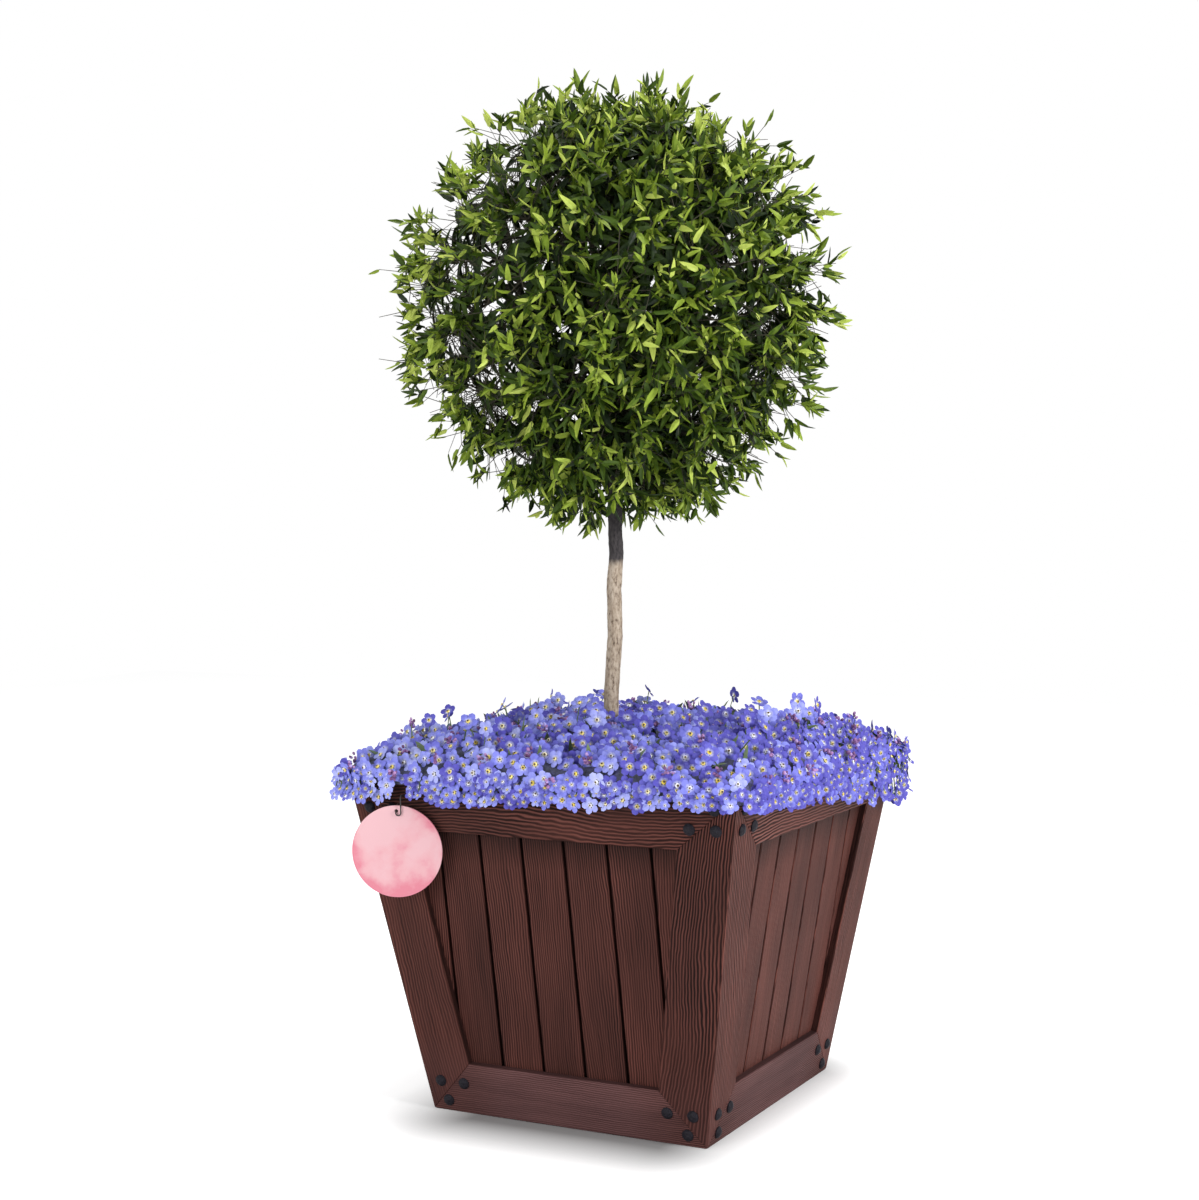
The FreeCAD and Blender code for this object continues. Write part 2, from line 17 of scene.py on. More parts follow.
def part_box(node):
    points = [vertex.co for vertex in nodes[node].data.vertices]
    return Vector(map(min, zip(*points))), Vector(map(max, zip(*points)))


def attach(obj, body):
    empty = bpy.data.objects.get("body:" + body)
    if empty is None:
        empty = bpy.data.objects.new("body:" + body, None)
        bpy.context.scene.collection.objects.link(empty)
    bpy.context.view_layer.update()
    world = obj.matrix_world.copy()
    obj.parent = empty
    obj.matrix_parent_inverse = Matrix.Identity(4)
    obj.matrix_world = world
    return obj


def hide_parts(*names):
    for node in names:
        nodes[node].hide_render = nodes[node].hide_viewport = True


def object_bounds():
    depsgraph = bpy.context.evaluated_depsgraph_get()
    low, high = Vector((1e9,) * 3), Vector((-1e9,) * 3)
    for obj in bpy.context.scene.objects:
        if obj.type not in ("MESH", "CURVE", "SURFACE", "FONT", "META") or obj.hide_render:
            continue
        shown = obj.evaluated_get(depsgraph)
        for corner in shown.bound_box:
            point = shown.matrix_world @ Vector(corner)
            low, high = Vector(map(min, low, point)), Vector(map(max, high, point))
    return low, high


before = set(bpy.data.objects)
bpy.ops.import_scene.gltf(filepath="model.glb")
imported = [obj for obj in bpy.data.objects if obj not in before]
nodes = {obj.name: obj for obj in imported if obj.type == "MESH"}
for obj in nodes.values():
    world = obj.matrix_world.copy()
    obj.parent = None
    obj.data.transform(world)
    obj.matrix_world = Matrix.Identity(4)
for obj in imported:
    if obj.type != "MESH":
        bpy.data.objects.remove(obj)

cad_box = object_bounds()
scene = bpy.context.scene

# %% [markdown]
# ## Camera
# The camera comes first, because everything is judged through it. It could be aimed by eye, but the
# planter's straight edges fix it to about a pixel: its place, turn and lens below let the rim, feet and
# rails fall where the photograph has them. The lens is worked out from the focal length in pixels.

# %% Camera
image_height = 1200
focal_pixels = 2019.64
camera_place = Vector((0.89588, -1.75918, 0.57170))
camera_azimuth = 27.897
camera_elevation = 2.563
camera_roll = -0.585

camera_data = bpy.data.cameras.new("photo_camera")
camera_data.sensor_width = 36.0
camera_data.lens = camera_data.sensor_width * focal_pixels / image_height
camera = bpy.data.objects.new("photo_camera", camera_data)
camera.matrix_world = (
    Matrix.Translation(camera_place)
    @ Matrix.Rotation(math.radians(camera_azimuth), 4, "Z")
    @ Matrix.Rotation(math.radians(90.0 - camera_elevation), 4, "X")
    @ Matrix.Rotation(math.radians(camera_roll), 4, "Z")
)
scene.collection.objects.link(camera)
scene.camera = camera
scene.view_settings.view_transform = "Standard"
print("lens:", round(camera_data.lens, 3), "mm")

# %% [markdown]
# ## Helpers for shader nodes
# A material is a tree of small nodes. Adding each by hand takes many lines, so one helper adds a node, sets
# its choices and fills its sockets with numbers, colours or the outputs of other nodes.


# %% Node helpers
def fill(tree, socket, value):
    """Sets a socket to a value, or links another node's output to it."""
    if isinstance(value, bpy.types.NodeSocket):
        tree.links.new(value, socket)
    else:
        socket.default_value = value


def wire(tree, node, **sockets):
    """Fills a node's sockets by name, with _ for each space in the name."""
    for name, value in sockets.items():
        fill(tree, node.inputs[name.replace("_", " ")], value)


def put(tree, kind, choices=None, **sockets):
    """Adds a node. Choices are its properties, and its sockets are filled by name."""
    node = tree.nodes.new("ShaderNode" + kind)
    for name, value in (choices or {}).items():
        setattr(node, name, value)
    wire(tree, node, **sockets)
    return node


def worked_out(tree, kind, operation, values):
    """Outputs of a node that does one sum on values in their order."""
    node = put(tree, kind, {"operation": operation})
    for socket, value in zip(node.inputs, values):
        fill(tree, socket, value)
    return node.outputs


def sums(tree, operation, *values):
    """Sum on one to three numbers."""
    return worked_out(tree, "Math", operation, values)[0]


def vectors(tree, operation, *values):
    """Sum on vectors, which gives a vector, or a number for a length."""
    return worked_out(tree, "VectorMath", operation, values)["Value" if operation == "LENGTH" else "Vector"]


def spread(tree, value, low, high, to_low=0.0, to_high=1.0):
    """Value moved from one range to another and kept inside it."""
    node = put(tree, "MapRange", Value=value, From_Min=low, From_Max=high, To_Min=to_low, To_Max=to_high)
    return node.outputs["Result"]


def new_material(name, **sockets):
    """Material with a Principled BSDF, and the tree and shader to go on with."""
    material = bpy.data.materials.new(name)
    material.use_nodes = True
    tree = material.node_tree
    shader = tree.nodes["Principled BSDF"]
    wire(tree, shader, **sockets)
    return material, tree, shader


def object_place(tree):
    """Place in the object's own frame."""
    return put(tree, "TexCoord").outputs["Object"]


print("node helpers ready")

# %% [markdown]
# ## Light, world and floor
# The planter stands in a white studio. Its overhanging rim throws a soft shadow all round its foot, so the
# main lamp is overhead. The floor's colour also darkens near the foot as a painted contact shadow. The right
# side is about twice as bright as the front, so a second lamp stands low on the right, and a weaker one
# fills the front. White backgrounds are often made with strong lamps, but those bleach the object. Here the
# world, and the floor further off, add white only for rays that come from the camera or from a mirror.

# %% Lamps
target = Vector((0.0, 0.0, 0.5))


def broad_lamp(name, azimuth, elevation, distance, size, power):
    """Square area lamp that looks at the object from a bearing."""
    data = bpy.data.lights.new(name, "AREA")
    data.energy = power
    data.size = size
    lamp = bpy.data.objects.new(name, data)
    bearing = Matrix.Rotation(math.radians(azimuth), 4, "Z")
    tilt = Matrix.Rotation(math.radians(90 - elevation), 4, "X")
    away = Matrix.Translation((0.0, 0.0, distance))
    lamp.matrix_world = Matrix.Translation(target) @ bearing @ tilt @ away
    scene.collection.objects.link(lamp)


broad_lamp("top_lamp", azimuth=150.0, elevation=80.0, distance=2.6, size=1.3, power=48.0)
broad_lamp("side_lamp", azimuth=82.0, elevation=14.0, distance=3.0, size=1.2, power=74.0)
broad_lamp("front_lamp", azimuth=-10.0, elevation=6.0, distance=3.0, size=1.6, power=42.0)


# %% White world
def seen_directly(tree):
    """1 for rays from the camera, from mirrors and through glass, otherwise 0."""
    path = put(tree, "LightPath").outputs
    mirrored = sums(tree, "MAXIMUM", path["Is Glossy Ray"], path["Is Transmission Ray"])
    return sums(tree, "MAXIMUM", path["Is Camera Ray"], mirrored)


ambient = 0.38
white = (1.0, 1.0, 1.0, 1.0)
world = bpy.data.worlds.new("white_studio")
world.use_nodes = True
scene.world = world
sky = world.node_tree
sky_strength = spread(sky, seen_directly(sky), 0.0, 1.0, ambient, 1.0)
wire(sky, sky.nodes["Background"], Color=white, Strength=sky_strength)
print("ambient light:", ambient)


# %% Pale floor
def to_mesh(name, bm):
    """Mesh of a bmesh, which is then freed."""
    mesh = bpy.data.meshes.new(name)
    bm.to_mesh(mesh)
    bm.free()
    return mesh


floor_half = 4.0
floor_tone = 0.86
shaded_tone = 0.36
shade_reach = 0.075
far_lift = 0.62
lift_reach = 0.105
stand_half = max(v.co.x for v in nodes["front_bottom_rail"].data.vertices if v.co.z < 0.001)
shade_shift = (-0.004, 0.015, 0.0)
shade_half = (stand_half - 0.045, stand_half, 0.0)

bm = bmesh.new()
bmesh.ops.create_grid(bm, x_segments=1, y_segments=1, size=floor_half)
floor = bpy.data.objects.new("floor", to_mesh("floor", bm))
scene.collection.objects.link(floor)
matt = {"Roughness": 0.95, "Specular_IOR_Level": 0.0}
material, tree, shader = new_material("pale_floor", Emission_Color=white, **matt)
# Painted contact shadow: within shade_reach of the foot, shifted a little to the front, the floor's base
# colour darkens from floor_tone to shaded_tone and the white lift fades out, on top of the shadow the lamps
# cast.
shifted = vectors(tree, "ADD", object_place(tree), shade_shift)
past = vectors(tree, "SUBTRACT", vectors(tree, "ABSOLUTE", shifted), shade_half)
from_foot = vectors(tree, "LENGTH", vectors(tree, "MAXIMUM", past, (0.0, 0.0, 0.0)))
lift = spread(tree, from_foot, 0.0, lift_reach, 0.0, far_lift)
wire(
    tree,
    shader,
    Base_Color=spread(tree, from_foot, 0.0, shade_reach, shaded_tone, floor_tone),
    Emission_Strength=sums(tree, "MULTIPLY", seen_directly(tree), lift),
)
floor.data.materials.append(material)
print("floor half size:", floor_half, "m")

# %% [markdown]
# ## Brushed timber
# The boards and frames are softwood that was brushed until the hard rings stood up as fine wavy ridges, and
# then stained red-brown. A plain wave texture looks like corrugated card. So the group below bends the
# lines with slow and quick noise, breaks them with long fibres and lets the stain gather in the grooves. It
# reads a vector whose X runs across the grain and whose Y runs along it, so one group serves every member.
# Only the show face is brushed, so the ridges fade with the depth below it and the edges keep the plain
# fibres.


# %% Noise and colour nodes
def separate(tree, vector):
    """The X, Y and Z of a vector."""
    return put(tree, "SeparateXYZ", Vector=vector).outputs


def speckle(tree, vector, scale, detail=2.0, roughness=0.5):
    """Soft noise from 0 to 1."""
    node = put(tree, "TexNoise", Vector=vector, Scale=scale, Detail=detail, Roughness=roughness)
    return node.outputs["Fac"]


def long_speckle(tree, vector, scales, detail, roughness=0.5):
    """Soft noise with a scale of its own in each direction."""
    return speckle(tree, vectors(tree, "MULTIPLY", vector, scales), 1.0, detail, roughness)


def ramp(tree, value, *stops):
    """Colour ramp through (place, colour) stops."""
    node = put(tree, "ValToRGB", Fac=value)
    elements = node.color_ramp.elements
    while len(elements) < len(stops):
        elements.new(0.5)
    for element, (place, colour) in zip(elements, stops):
        element.position = place
        element.color = (*colour, 1.0)
    return node.outputs["Color"]


def blended(tree, share, first, second, way="MIX"):
    """Colour mix of first and second by a share."""
    node = put(tree, "Mix", {"data_type": "RGBA", "blend_type": way}, Factor=share)
    for socket, value in zip((node.inputs[6], node.inputs[7]), (first, second)):
        fill(tree, socket, value if isinstance(value, bpy.types.NodeSocket) else (*value, 1.0))
    return node.outputs[2]


print("noise and colour nodes ready")


# %% Grain group
def new_group(name, inputs, outputs):
    """Shader node group with named sockets, and its input and output nodes' sockets."""
    group = bpy.data.node_groups.new(name, "ShaderNodeTree")
    for label, kind in inputs.items():
        group.interface.new_socket(label, in_out="INPUT", socket_type="NodeSocket" + kind)
    for label, kind in outputs.items():
        group.interface.new_socket(label, in_out="OUTPUT", socket_type="NodeSocket" + kind)
    return group, group.nodes.new("NodeGroupInput").outputs, group.nodes.new("NodeGroupOutput").inputs


ring_tilt = 0.6
ridge_mean = 0.4
ridge_share = 0.58
fibres_across = 700.0
fibres_along = 14.0
brushed_from = 0.0006
brushed_to = 0.002
grain_inputs = {"Vector": "Vector", "Depth": "Float", "Pitch": "Float", "Wander": "Float"}
grain_inputs |= {"Brushing": "Float", "Groove": "Color", "Ridge": "Color"}
grain_outputs = {"Colour": "Color", "Roughness": "Float", "Height": "Float"}
grain, given, out = new_group("brushed_grain", grain_inputs, grain_outputs)
place = given["Vector"]
slow = long_speckle(grain, place, (11.0, 5.0, 11.0), 1.0)
quick = long_speckle(grain, place, (130.0, 55.0, 130.0), 1.0)
uneven = long_speckle(grain, place, (20.0, 8.0, 20.0), 1.0)
blotch = long_speckle(grain, place, (26.0, 6.0, 26.0), 2.0)

split = separate(grain, place)
across = sums(grain, "MULTIPLY_ADD", split["Z"], ring_tilt, split["X"])
bend = sums(grain, "MULTIPLY", sums(grain, "SUBTRACT", slow, 0.5), given["Wander"])
jitter = sums(grain, "MULTIPLY", sums(grain, "SUBTRACT", quick, 0.5), given["Pitch"])
shifted = sums(grain, "ADD", sums(grain, "ADD", across, bend), jitter)
turns = sums(grain, "DIVIDE", shifted, given["Pitch"])
wave = sums(grain, "SINE", sums(grain, "MULTIPLY", turns, math.tau))

show_face = spread(grain, given["Depth"], brushed_from, brushed_to, 1.0, 0.0)
brushed = sums(grain, "MULTIPLY", spread(grain, uneven, 0.35, 0.65, 0.65, 1.25), given["Brushing"])
crest = sums(grain, "SUBTRACT", spread(grain, wave, -0.45, 0.95), ridge_mean)
ridge = sums(grain, "MULTIPLY", sums(grain, "MULTIPLY_ADD", crest, brushed, ridge_mean), show_face)

bent = put(grain, "CombineXYZ", X=shifted).outputs["Vector"]
across_fibre = vectors(grain, "MULTIPLY", bent, (fibres_across, 0.0, 0.0))
flow = vectors(grain, "MULTIPLY_ADD", place, (0.0, fibres_along, fibres_across), across_fibre)
fibre = sums(grain, "MULTIPLY", speckle(grain, flow, 1.0, 3.0, 0.6), 1.0 - ridge_share)
raised = sums(grain, "ADD", sums(grain, "MULTIPLY", ridge, ridge_share), fibre)
stain = blended(grain, spread(grain, raised, 0.15, 0.8), given["Groove"], given["Ridge"])
patch = ramp(grain, blotch, (0.25, (0.62, 0.6, 0.6)), (0.75, (1.3, 1.25, 1.22)))
fill(grain, out["Colour"], blended(grain, 1.0, stain, patch, "MULTIPLY"))
fill(grain, out["Roughness"], spread(grain, raised, 0.0, 1.0, 0.78, 0.5))
fill(grain, out["Height"], raised)
print("grain group:", len(grain.nodes), "nodes")


# %% Grain in a material
def roughened(tree, shader, height, distance):
    """Bump from a height into the shader's normal."""
    wire(tree, shader, Normal=put(tree, "Bump", Height=height, Distance=distance).outputs["Normal"])


def grained(tree, shader, ridge_height, **sockets):
    """Places the grain group in a material and wires it to the shader."""
    group = put(tree, "Group", {"node_tree": grain}, **sockets).outputs
    wire(tree, shader, Base_Color=group["Colour"], Roughness=group["Roughness"])
    roughened(tree, shader, group["Height"], ridge_height)


def dress(node, material):
    """Puts one material on a CAD node."""
    if not nodes[node].material_slots:
        nodes[node].data.materials.append(None)
    for slot in nodes[node].material_slots:
        slot.material = material


print("grain ready to use")

# %% [markdown]
# Each member has its own tree ring pattern, so every node gets its own material: the same group, with a
# Mapping that turns the part's frame to that member. The side's quarter turn is undone first, then its
# lean, and last the member's own direction in the face. A random shift makes no two boards alike.

# %% Directions of the members
rim_low, rim_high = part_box("front_top_rail")
rim_half = rim_high.x
foot_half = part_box("front_bottom_rail")[1].x
rim_level = rim_high.z
flare = rim_half - foot_half
face_lean = math.atan2(flare, rim_level)
stile_lean = math.atan2(flare, math.hypot(flare, rim_level))
side_order = ("front", "right", "back", "left")
ends_of_side = {"front": "right", "right": "back", "back": "left", "left": "front"}


def grain_turn(side, in_face):
    """Turn that lays a member's length along Y and its width along X."""
    quarter = Matrix.Rotation(-math.pi / 2 * side_order.index(side), 4, "Z")
    upright = Matrix.Rotation(-math.pi / 2 - face_lean, 4, "X")
    flip = Matrix.Rotation(math.pi, 4, "X")
    return Matrix.Rotation(in_face, 4, "Z") @ flip @ upright @ quarter


def member_direction(name):
    """Angle in the face that turns the member upright."""
    if "rail" in name:
        return math.pi / 2
    if "stile" not in name:
        return 0.0
    side, end, _ = name.split("_")
    return -stile_lean if end == ends_of_side[side] else stile_lean


print("lean of a side:", round(math.degrees(face_lean), 2), "degrees")

# %% [markdown]
# The stain is not even either. The bottom rails have weathered paler, most of all in their middle, and so
# have the feet of the stiles. The boards are coloured darker just under the top rail, and the top rail just
# under the flowers: this is painted shade. The photograph shows the front left stile smooth and pale, and
# the front right one dark and deeply brushed.

# %% Stain and painted shade of a member
groove_stain = (0.014, 0.0042, 0.0034)
ridge_stain = (0.17, 0.06, 0.048)
foot_groove_stain = (0.058, 0.026, 0.025)
foot_ridge_stain = (0.205, 0.102, 0.103)
painted_shade_colour = (0.0, 0.0, 0.0)
pale_from = 0.45
pale_to = 0.95
foot_level = 0.08
corner_share = 0.35
painted_shade_drop = 0.03
painted_shade_share = 0.65


def stains_and_shade_at(tree, name, place, tone):
    """Groove and ridge colours of a member by its place on the planter, with painted shade under the top
    rail and flowers.
    """
    upper = [tuple(tone * c for c in stain) for stain in (groove_stain, ridge_stain)]
    lower = [tuple(tone * c for c in stain) for stain in (foot_groove_stain, foot_ridge_stain)]
    folded = separate(tree, vectors(tree, "ABSOLUTE", place))
    if "bottom" in name:
        along = sums(tree, "MINIMUM", folded["X"], folded["Y"])
        share = spread(tree, along, pale_from * foot_half, pale_to * foot_half, 1.0, corner_share)
    elif "stile" in name:
        share = spread(tree, folded["Z"], 0.0, foot_level, corner_share, 0.0)
    else:
        # Painted shade: boards just under the top rail, and the top rail just under the flowers, blend
        # towards black.
        lower = [painted_shade_colour, painted_shade_colour]
        painted_shade_top = rim_low.z if "board" in name else rim_level
        share = spread(tree, folded["Z"], painted_shade_top - painted_shade_drop, painted_shade_top, 0.0, painted_shade_share)
    return [blended(tree, share, high, low) for high, low in zip(upper, lower)]


print("stains ready")

# %% Stained timber on frames and boards
timber_draw = random.Random(11)
ring_shift = 9.0
worn_level = 0.16
worn_share = 0.45
# Painted shade: the front is coloured darker than the other sides, and the right lightest, as the light
# falls on them.
painted_side_shade = {"front": 0.79, "right": 0.98, "back": 0.9, "left": 0.9}
tone_and_brushing = {
    "front_left_stile": (1.08, 0.55),
    "front_right_stile": (0.9, 1.1),
    "right_front_stile": (0.82, 1.0),
    "right_bottom_rail": (0.7, 1.0),
}


def brushed_timber(name, pitch, wander, ridge_height, brushing):
    """Brushed and stained timber for one member."""
    material, tree, shader = new_material("stained_" + name, Specular_IOR_Level=0.1)
    side = name.split("_")[0]
    turn = grain_turn(side, member_direction(name))
    face = min((turn @ v.co).z for v in nodes[name].data.vertices)
    place = object_place(tree)
    laid = put(tree, "Mapping", Vector=place, Rotation=turn.to_euler("XYZ"), Location=(0.0, 0.0, -face))
    shift = [timber_draw.uniform(0.0, ring_shift) for _ in range(3)]
    moved = put(tree, "Mapping", Vector=laid.outputs["Vector"], Location=shift)
    own_tone, own_brushing = tone_and_brushing.get(name, (1.0, 1.0))
    # tone holds a random shift, the painted side shade and the member's own tone.
    tone = timber_draw.uniform(0.88, 1.1) * painted_side_shade[side] * own_tone
    groove, ridge = stains_and_shade_at(tree, name, place, tone)
    brushing *= own_brushing
    if "stile" in name:
        brushing = spread(tree, separate(tree, place)["Z"], 0.0, worn_level, worn_share * brushing, brushing)
    depth = separate(tree, laid.outputs["Vector"])["Z"]
    rings = {"Pitch": pitch, "Wander": wander, "Brushing": brushing, "Groove": groove, "Ridge": ridge}
    grained(tree, shader, ridge_height, Vector=moved.outputs["Vector"], Depth=depth, **rings)
    return material


stained = sorted(n for n in nodes if "rail" in n or "stile" in n or "board" in n)
for name in stained:
    if "board" in name:
        finish = {"pitch": 0.0025, "wander": 0.018, "ridge_height": 0.0004, "brushing": 0.7}
    elif "bottom" in name:
        finish = {"pitch": 0.0021, "wander": 0.008, "ridge_height": 0.0003, "brushing": 0.7}
    else:
        finish = {"pitch": 0.0031, "wander": 0.03, "ridge_height": 0.0007, "brushing": 1.0}
    dress(name, brushed_timber(name, **finish))
print("stained members:", len(stained))

# %% [markdown]
# ## Inner timber and metal
# Posts, battens, ledgers and the floor rarely see daylight, so they are plain sawn timber. They use the same
# grain group with paler colours and a low ridge. The studs are forged iron with hammer marks, and the
# screws are plated.

# %% Sawn timber
inner_draw = random.Random(12)
sawn_height = 0.0003
sawn_rings = {"Pitch": 0.004, "Wander": 0.02, "Brushing": 1.0}
sawn_rings |= {"Groove": (0.13, 0.07, 0.04, 1.0), "Ridge": (0.3, 0.19, 0.11, 1.0)}
inner = sorted(n for n in nodes if n.endswith("_post") or n.startswith("floor_") or n == "top_battens")
for name in inner:
    material, tree, shader = new_material("sawn_" + name, Specular_IOR_Level=0.3)
    tilt = math.pi / 2 if name.endswith("_post") else 0.0
    quarter = math.pi / 2 if name == "floor_bearer" else 0.0
    shift = (inner_draw.uniform(0, 5), inner_draw.uniform(0, 5), 0.0)
    laid = put(tree, "Mapping", Vector=object_place(tree), Rotation=(tilt, 0.0, quarter), Location=shift)
    grained(tree, shader, sawn_height, Vector=laid.outputs["Vector"], **sawn_rings)
    dress(name, material)
print("sawn pieces:", len(inner))


# %% Forged studs, plated screws and the hook
def speckled(name, scale, detail, *stops, rough=None, **sockets):
    """Material coloured by soft noise, which also sets its roughness if rough gives a range."""
    material, tree, shader = new_material(name, **sockets)
    specks = speckle(tree, object_place(tree), scale, detail)
    wire(tree, shader, Base_Color=ramp(tree, specks, *stops))
    if rough:
        wire(tree, shader, Roughness=spread(tree, specks, 0.2, 0.8, *rough))
    return material, tree, shader, specks


iron = ((0.3, (0.006, 0.0055, 0.008)), (0.75, (0.022, 0.02, 0.027)))
zinc = ((0.3, (0.42, 0.4, 0.34)), (0.7, (0.62, 0.6, 0.52)))
dark = ((0.3, (0.02, 0.016, 0.016)), (0.8, (0.07, 0.06, 0.06)))
made = speckled("forged_iron", 900.0, 3.0, *iron, rough=(0.42, 0.66), Specular_IOR_Level=0.1)
material, tree, shader, pits = made
hammered = put(tree, "TexVoronoi", {"feature": "SMOOTH_F1"}, Vector=object_place(tree), Scale=260.0)
marks = sums(tree, "ADD", hammered.outputs["Distance"], sums(tree, "MULTIPLY", pits, 0.15))
roughened(tree, shader, marks, 0.0012)
dress("stud_nails", material)
dress("post_screws", speckled("plated_steel", 1500.0, 3.0, *zinc, rough=(0.25, 0.45), Metallic=1.0)[0])
dress("tag_hook", speckled("dark_wire", 2500.0, 2.0, *dark, rough=(0.3, 0.5), Metallic=0.7)[0])
print("metal finishes: 3")

# %% [markdown]
# ## Liner, soil and tag
# The liner is moulded plastic with a fine matt texture, and the soil is dark and crumbly. Both show only
# when the planting is lifted out. The tag is card with a soft watercolour wash: two scales of noise tint
# it, and the wash is deeper near the rim, where wet paint dries last. It is left without any print.

# %% Liner and soil
dusty = ((0.35, (0.012, 0.012, 0.013)), (0.8, (0.05, 0.046, 0.042)))
material, tree, shader, _ = speckled("moulded_liner", 30.0, 4.0, *dusty, rough=(0.5, 0.75))
leather = put(tree, "TexVoronoi", Vector=object_place(tree), Scale=700.0).outputs["Distance"]
roughened(tree, shader, leather, 0.0003)
dress("liner", material)

earth = ((0.3, (0.009, 0.006, 0.004)), (0.75, (0.06, 0.038, 0.024)))
material, tree, shader, grit = speckled("crumbly_soil", 500.0, 4.0, *earth, Roughness=0.95)
crumbs = put(tree, "TexVoronoi", Vector=object_place(tree), Scale=220.0).outputs["Distance"]
roughened(tree, shader, sums(tree, "ADD", crumbs, grit), 0.003)
dress("soil", material)
print("planting container dressed")

# %% Tag
tag_low, tag_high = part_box("hang_tag")
tag_middle = (tag_low + tag_high) / 2
tag_radius = (tag_high.z - tag_low.z) / 2
cloud_share = 0.8
bloom_share = 0.2
wash_shift = (3.13, 1.74, 0.46)
material, tree, shader = new_material("washed_card", Roughness=0.6)
centred = put(tree, "Mapping", Vector=object_place(tree), Location=-tag_middle).outputs["Vector"]
washed = put(tree, "Mapping", Vector=centred, Location=wash_shift).outputs["Vector"]
from_middle = vectors(tree, "LENGTH", centred)
cloud = sums(tree, "MULTIPLY", speckle(tree, washed, 20.0, 2.0, 0.45), cloud_share)
rim_wash = spread(tree, from_middle, 0.4 * tag_radius, tag_radius, 0.0, 0.07)
bloom_wash = sums(tree, "MULTIPLY_ADD", speckle(tree, washed, 75.0, 3.0, 0.6), bloom_share, rim_wash)
wash = sums(tree, "ADD", bloom_wash, cloud)
wash_colours = ((0.46, (0.71, 0.42, 0.455)), (0.52, (0.7, 0.36, 0.4)), (0.6, (0.65, 0.2, 0.265)))
wire(tree, shader, Base_Color=ramp(tree, wash, *wash_colours))
roughened(tree, shader, speckle(tree, centred, 1800.0, 3.0), 0.00012)
dress("hang_tag", material)
print("tag radius:", round(tag_radius, 4), "m")

# %% [markdown]
# ## Helpers for new pieces
# The plants are new meshes. Each is shaped with bmesh operators, then handed to the body that carries it.
# Leaves and petals are one small shape repeated many times: a copy of the shape is moved to its place and
# added, and a tone for each copy is kept as an attribute that the material reads.


# %% Piece helpers
def make_piece(name, bm, materials, replaced):
    """Object from a bmesh, riding with the planting and standing for a CAD node."""
    mesh = to_mesh(name, bm)
    for material in materials:
        mesh.materials.append(material)
    piece = bpy.data.objects.new(name, mesh)
    scene.collection.objects.link(piece)
    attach(piece, "planting")
    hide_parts(replaced)
    mesh.calc_loop_triangles()
    print(name, "has", len(mesh.loop_triangles), "triangles")
    return piece


def strew(template, places, bm=None):
    """Bmesh with one copy of a small mesh at each place, which is a matrix."""
    bm = bm or bmesh.new()
    for place in places:
        copy = template.copy()
        copy.transform(place)
        bm.from_mesh(copy)
        bpy.data.meshes.remove(copy)
    return bm


def mark_copies(piece, name, values):
    """Gives each copy in a mesh its own value of an attribute."""
    mesh = piece.data
    attribute = mesh.attributes.new(name, "FLOAT", "POINT")
    copy_size = len(mesh.vertices) // len(values)
    attribute.data.foreach_set("value", np.repeat(np.array(values, np.float32), copy_size))


print("piece helpers ready")

# %% [markdown]
# ## Trunk
# The trunk is a thin stem with slight kinks, tan bark below and a dark grey stretch under the crown. A
# curve with a bevel would be quick but too even. Here a ring is extruded up through the CAD trunk's own
# ring centres, cut finer, and pushed in and out by noise, so the kinks and warts are in the mesh.

# %% Trunk rings from the CAD node
trunk_points = np.array([v.co for v in nodes["tree_trunk"].data.vertices])
trunk_levels = sorted({round(float(z), 4) for z in trunk_points[:, 2]})
trunk_rings = []
for level in trunk_levels:
    ring = trunk_points[np.abs(trunk_points[:, 2] - level) < 0.0002]
    middle = ring.mean(axis=0)
    trunk_rings.append((Vector(middle), float(np.abs(ring[:, :2] - middle[:2]).max())))
print("trunk rings:", [(round(c.z, 3), round(r, 4)) for c, r in trunk_rings])


# %% Trunk mesh
def grow(bm, lid, keep_old):
    """Extrudes a lid face in place and gives the new lid; the old one goes, unless it closes the bottom."""
    grown = bmesh.ops.extrude_face_region(bm, geom=[lid])
    if not keep_old:
        bmesh.ops.delete(bm, geom=[lid], context="FACES_ONLY")
    return [g for g in grown["geom"] if isinstance(g, bmesh.types.BMFace)][0]


trunk_sides = 20
trunk_cuts = 14
long_step = 0.004
bark_depth = 0.0007
bm = bmesh.new()
first_centre, first_radius = trunk_rings[0]
bmesh.ops.create_circle(
    bm, cap_ends=True, segments=trunk_sides, radius=first_radius, matrix=Matrix.Translation(first_centre)
)
bottom = bm.faces[:][0]
top = bottom
for (centre, radius), (next_centre, next_radius) in zip(trunk_rings, trunk_rings[1:]):
    top = grow(bm, top, top is bottom)
    ring = list(top.verts)
    bmesh.ops.translate(bm, verts=ring, vec=next_centre - centre)
    share = next_radius / radius
    bmesh.ops.scale(bm, verts=ring, vec=(share, share, 1.0), space=Matrix.Translation(-next_centre))
print("trunk edges not shared by two faces:", sum(not e.is_manifold for e in bm.edges))
long_edges = [e for e in bm.edges if abs(e.verts[0].co.z - e.verts[1].co.z) > long_step]
bmesh.ops.subdivide_edges(bm, edges=long_edges, cuts=trunk_cuts)
bmesh.ops.recalc_face_normals(bm, faces=bm.faces)
bm.normal_update()
for vert in bm.verts:
    x, y, z = vert.co
    wart = noise.noise(Vector((x * 90, y * 90, z * 45)))
    ridge_line = noise.noise(Vector((x * 420, y * 420, z * 160)) + Vector((7, 3, 1)))
    vert.co += vert.normal * bark_depth * (0.9 * wart + 0.7 * ridge_line)
for face in bm.faces:
    face.smooth = True

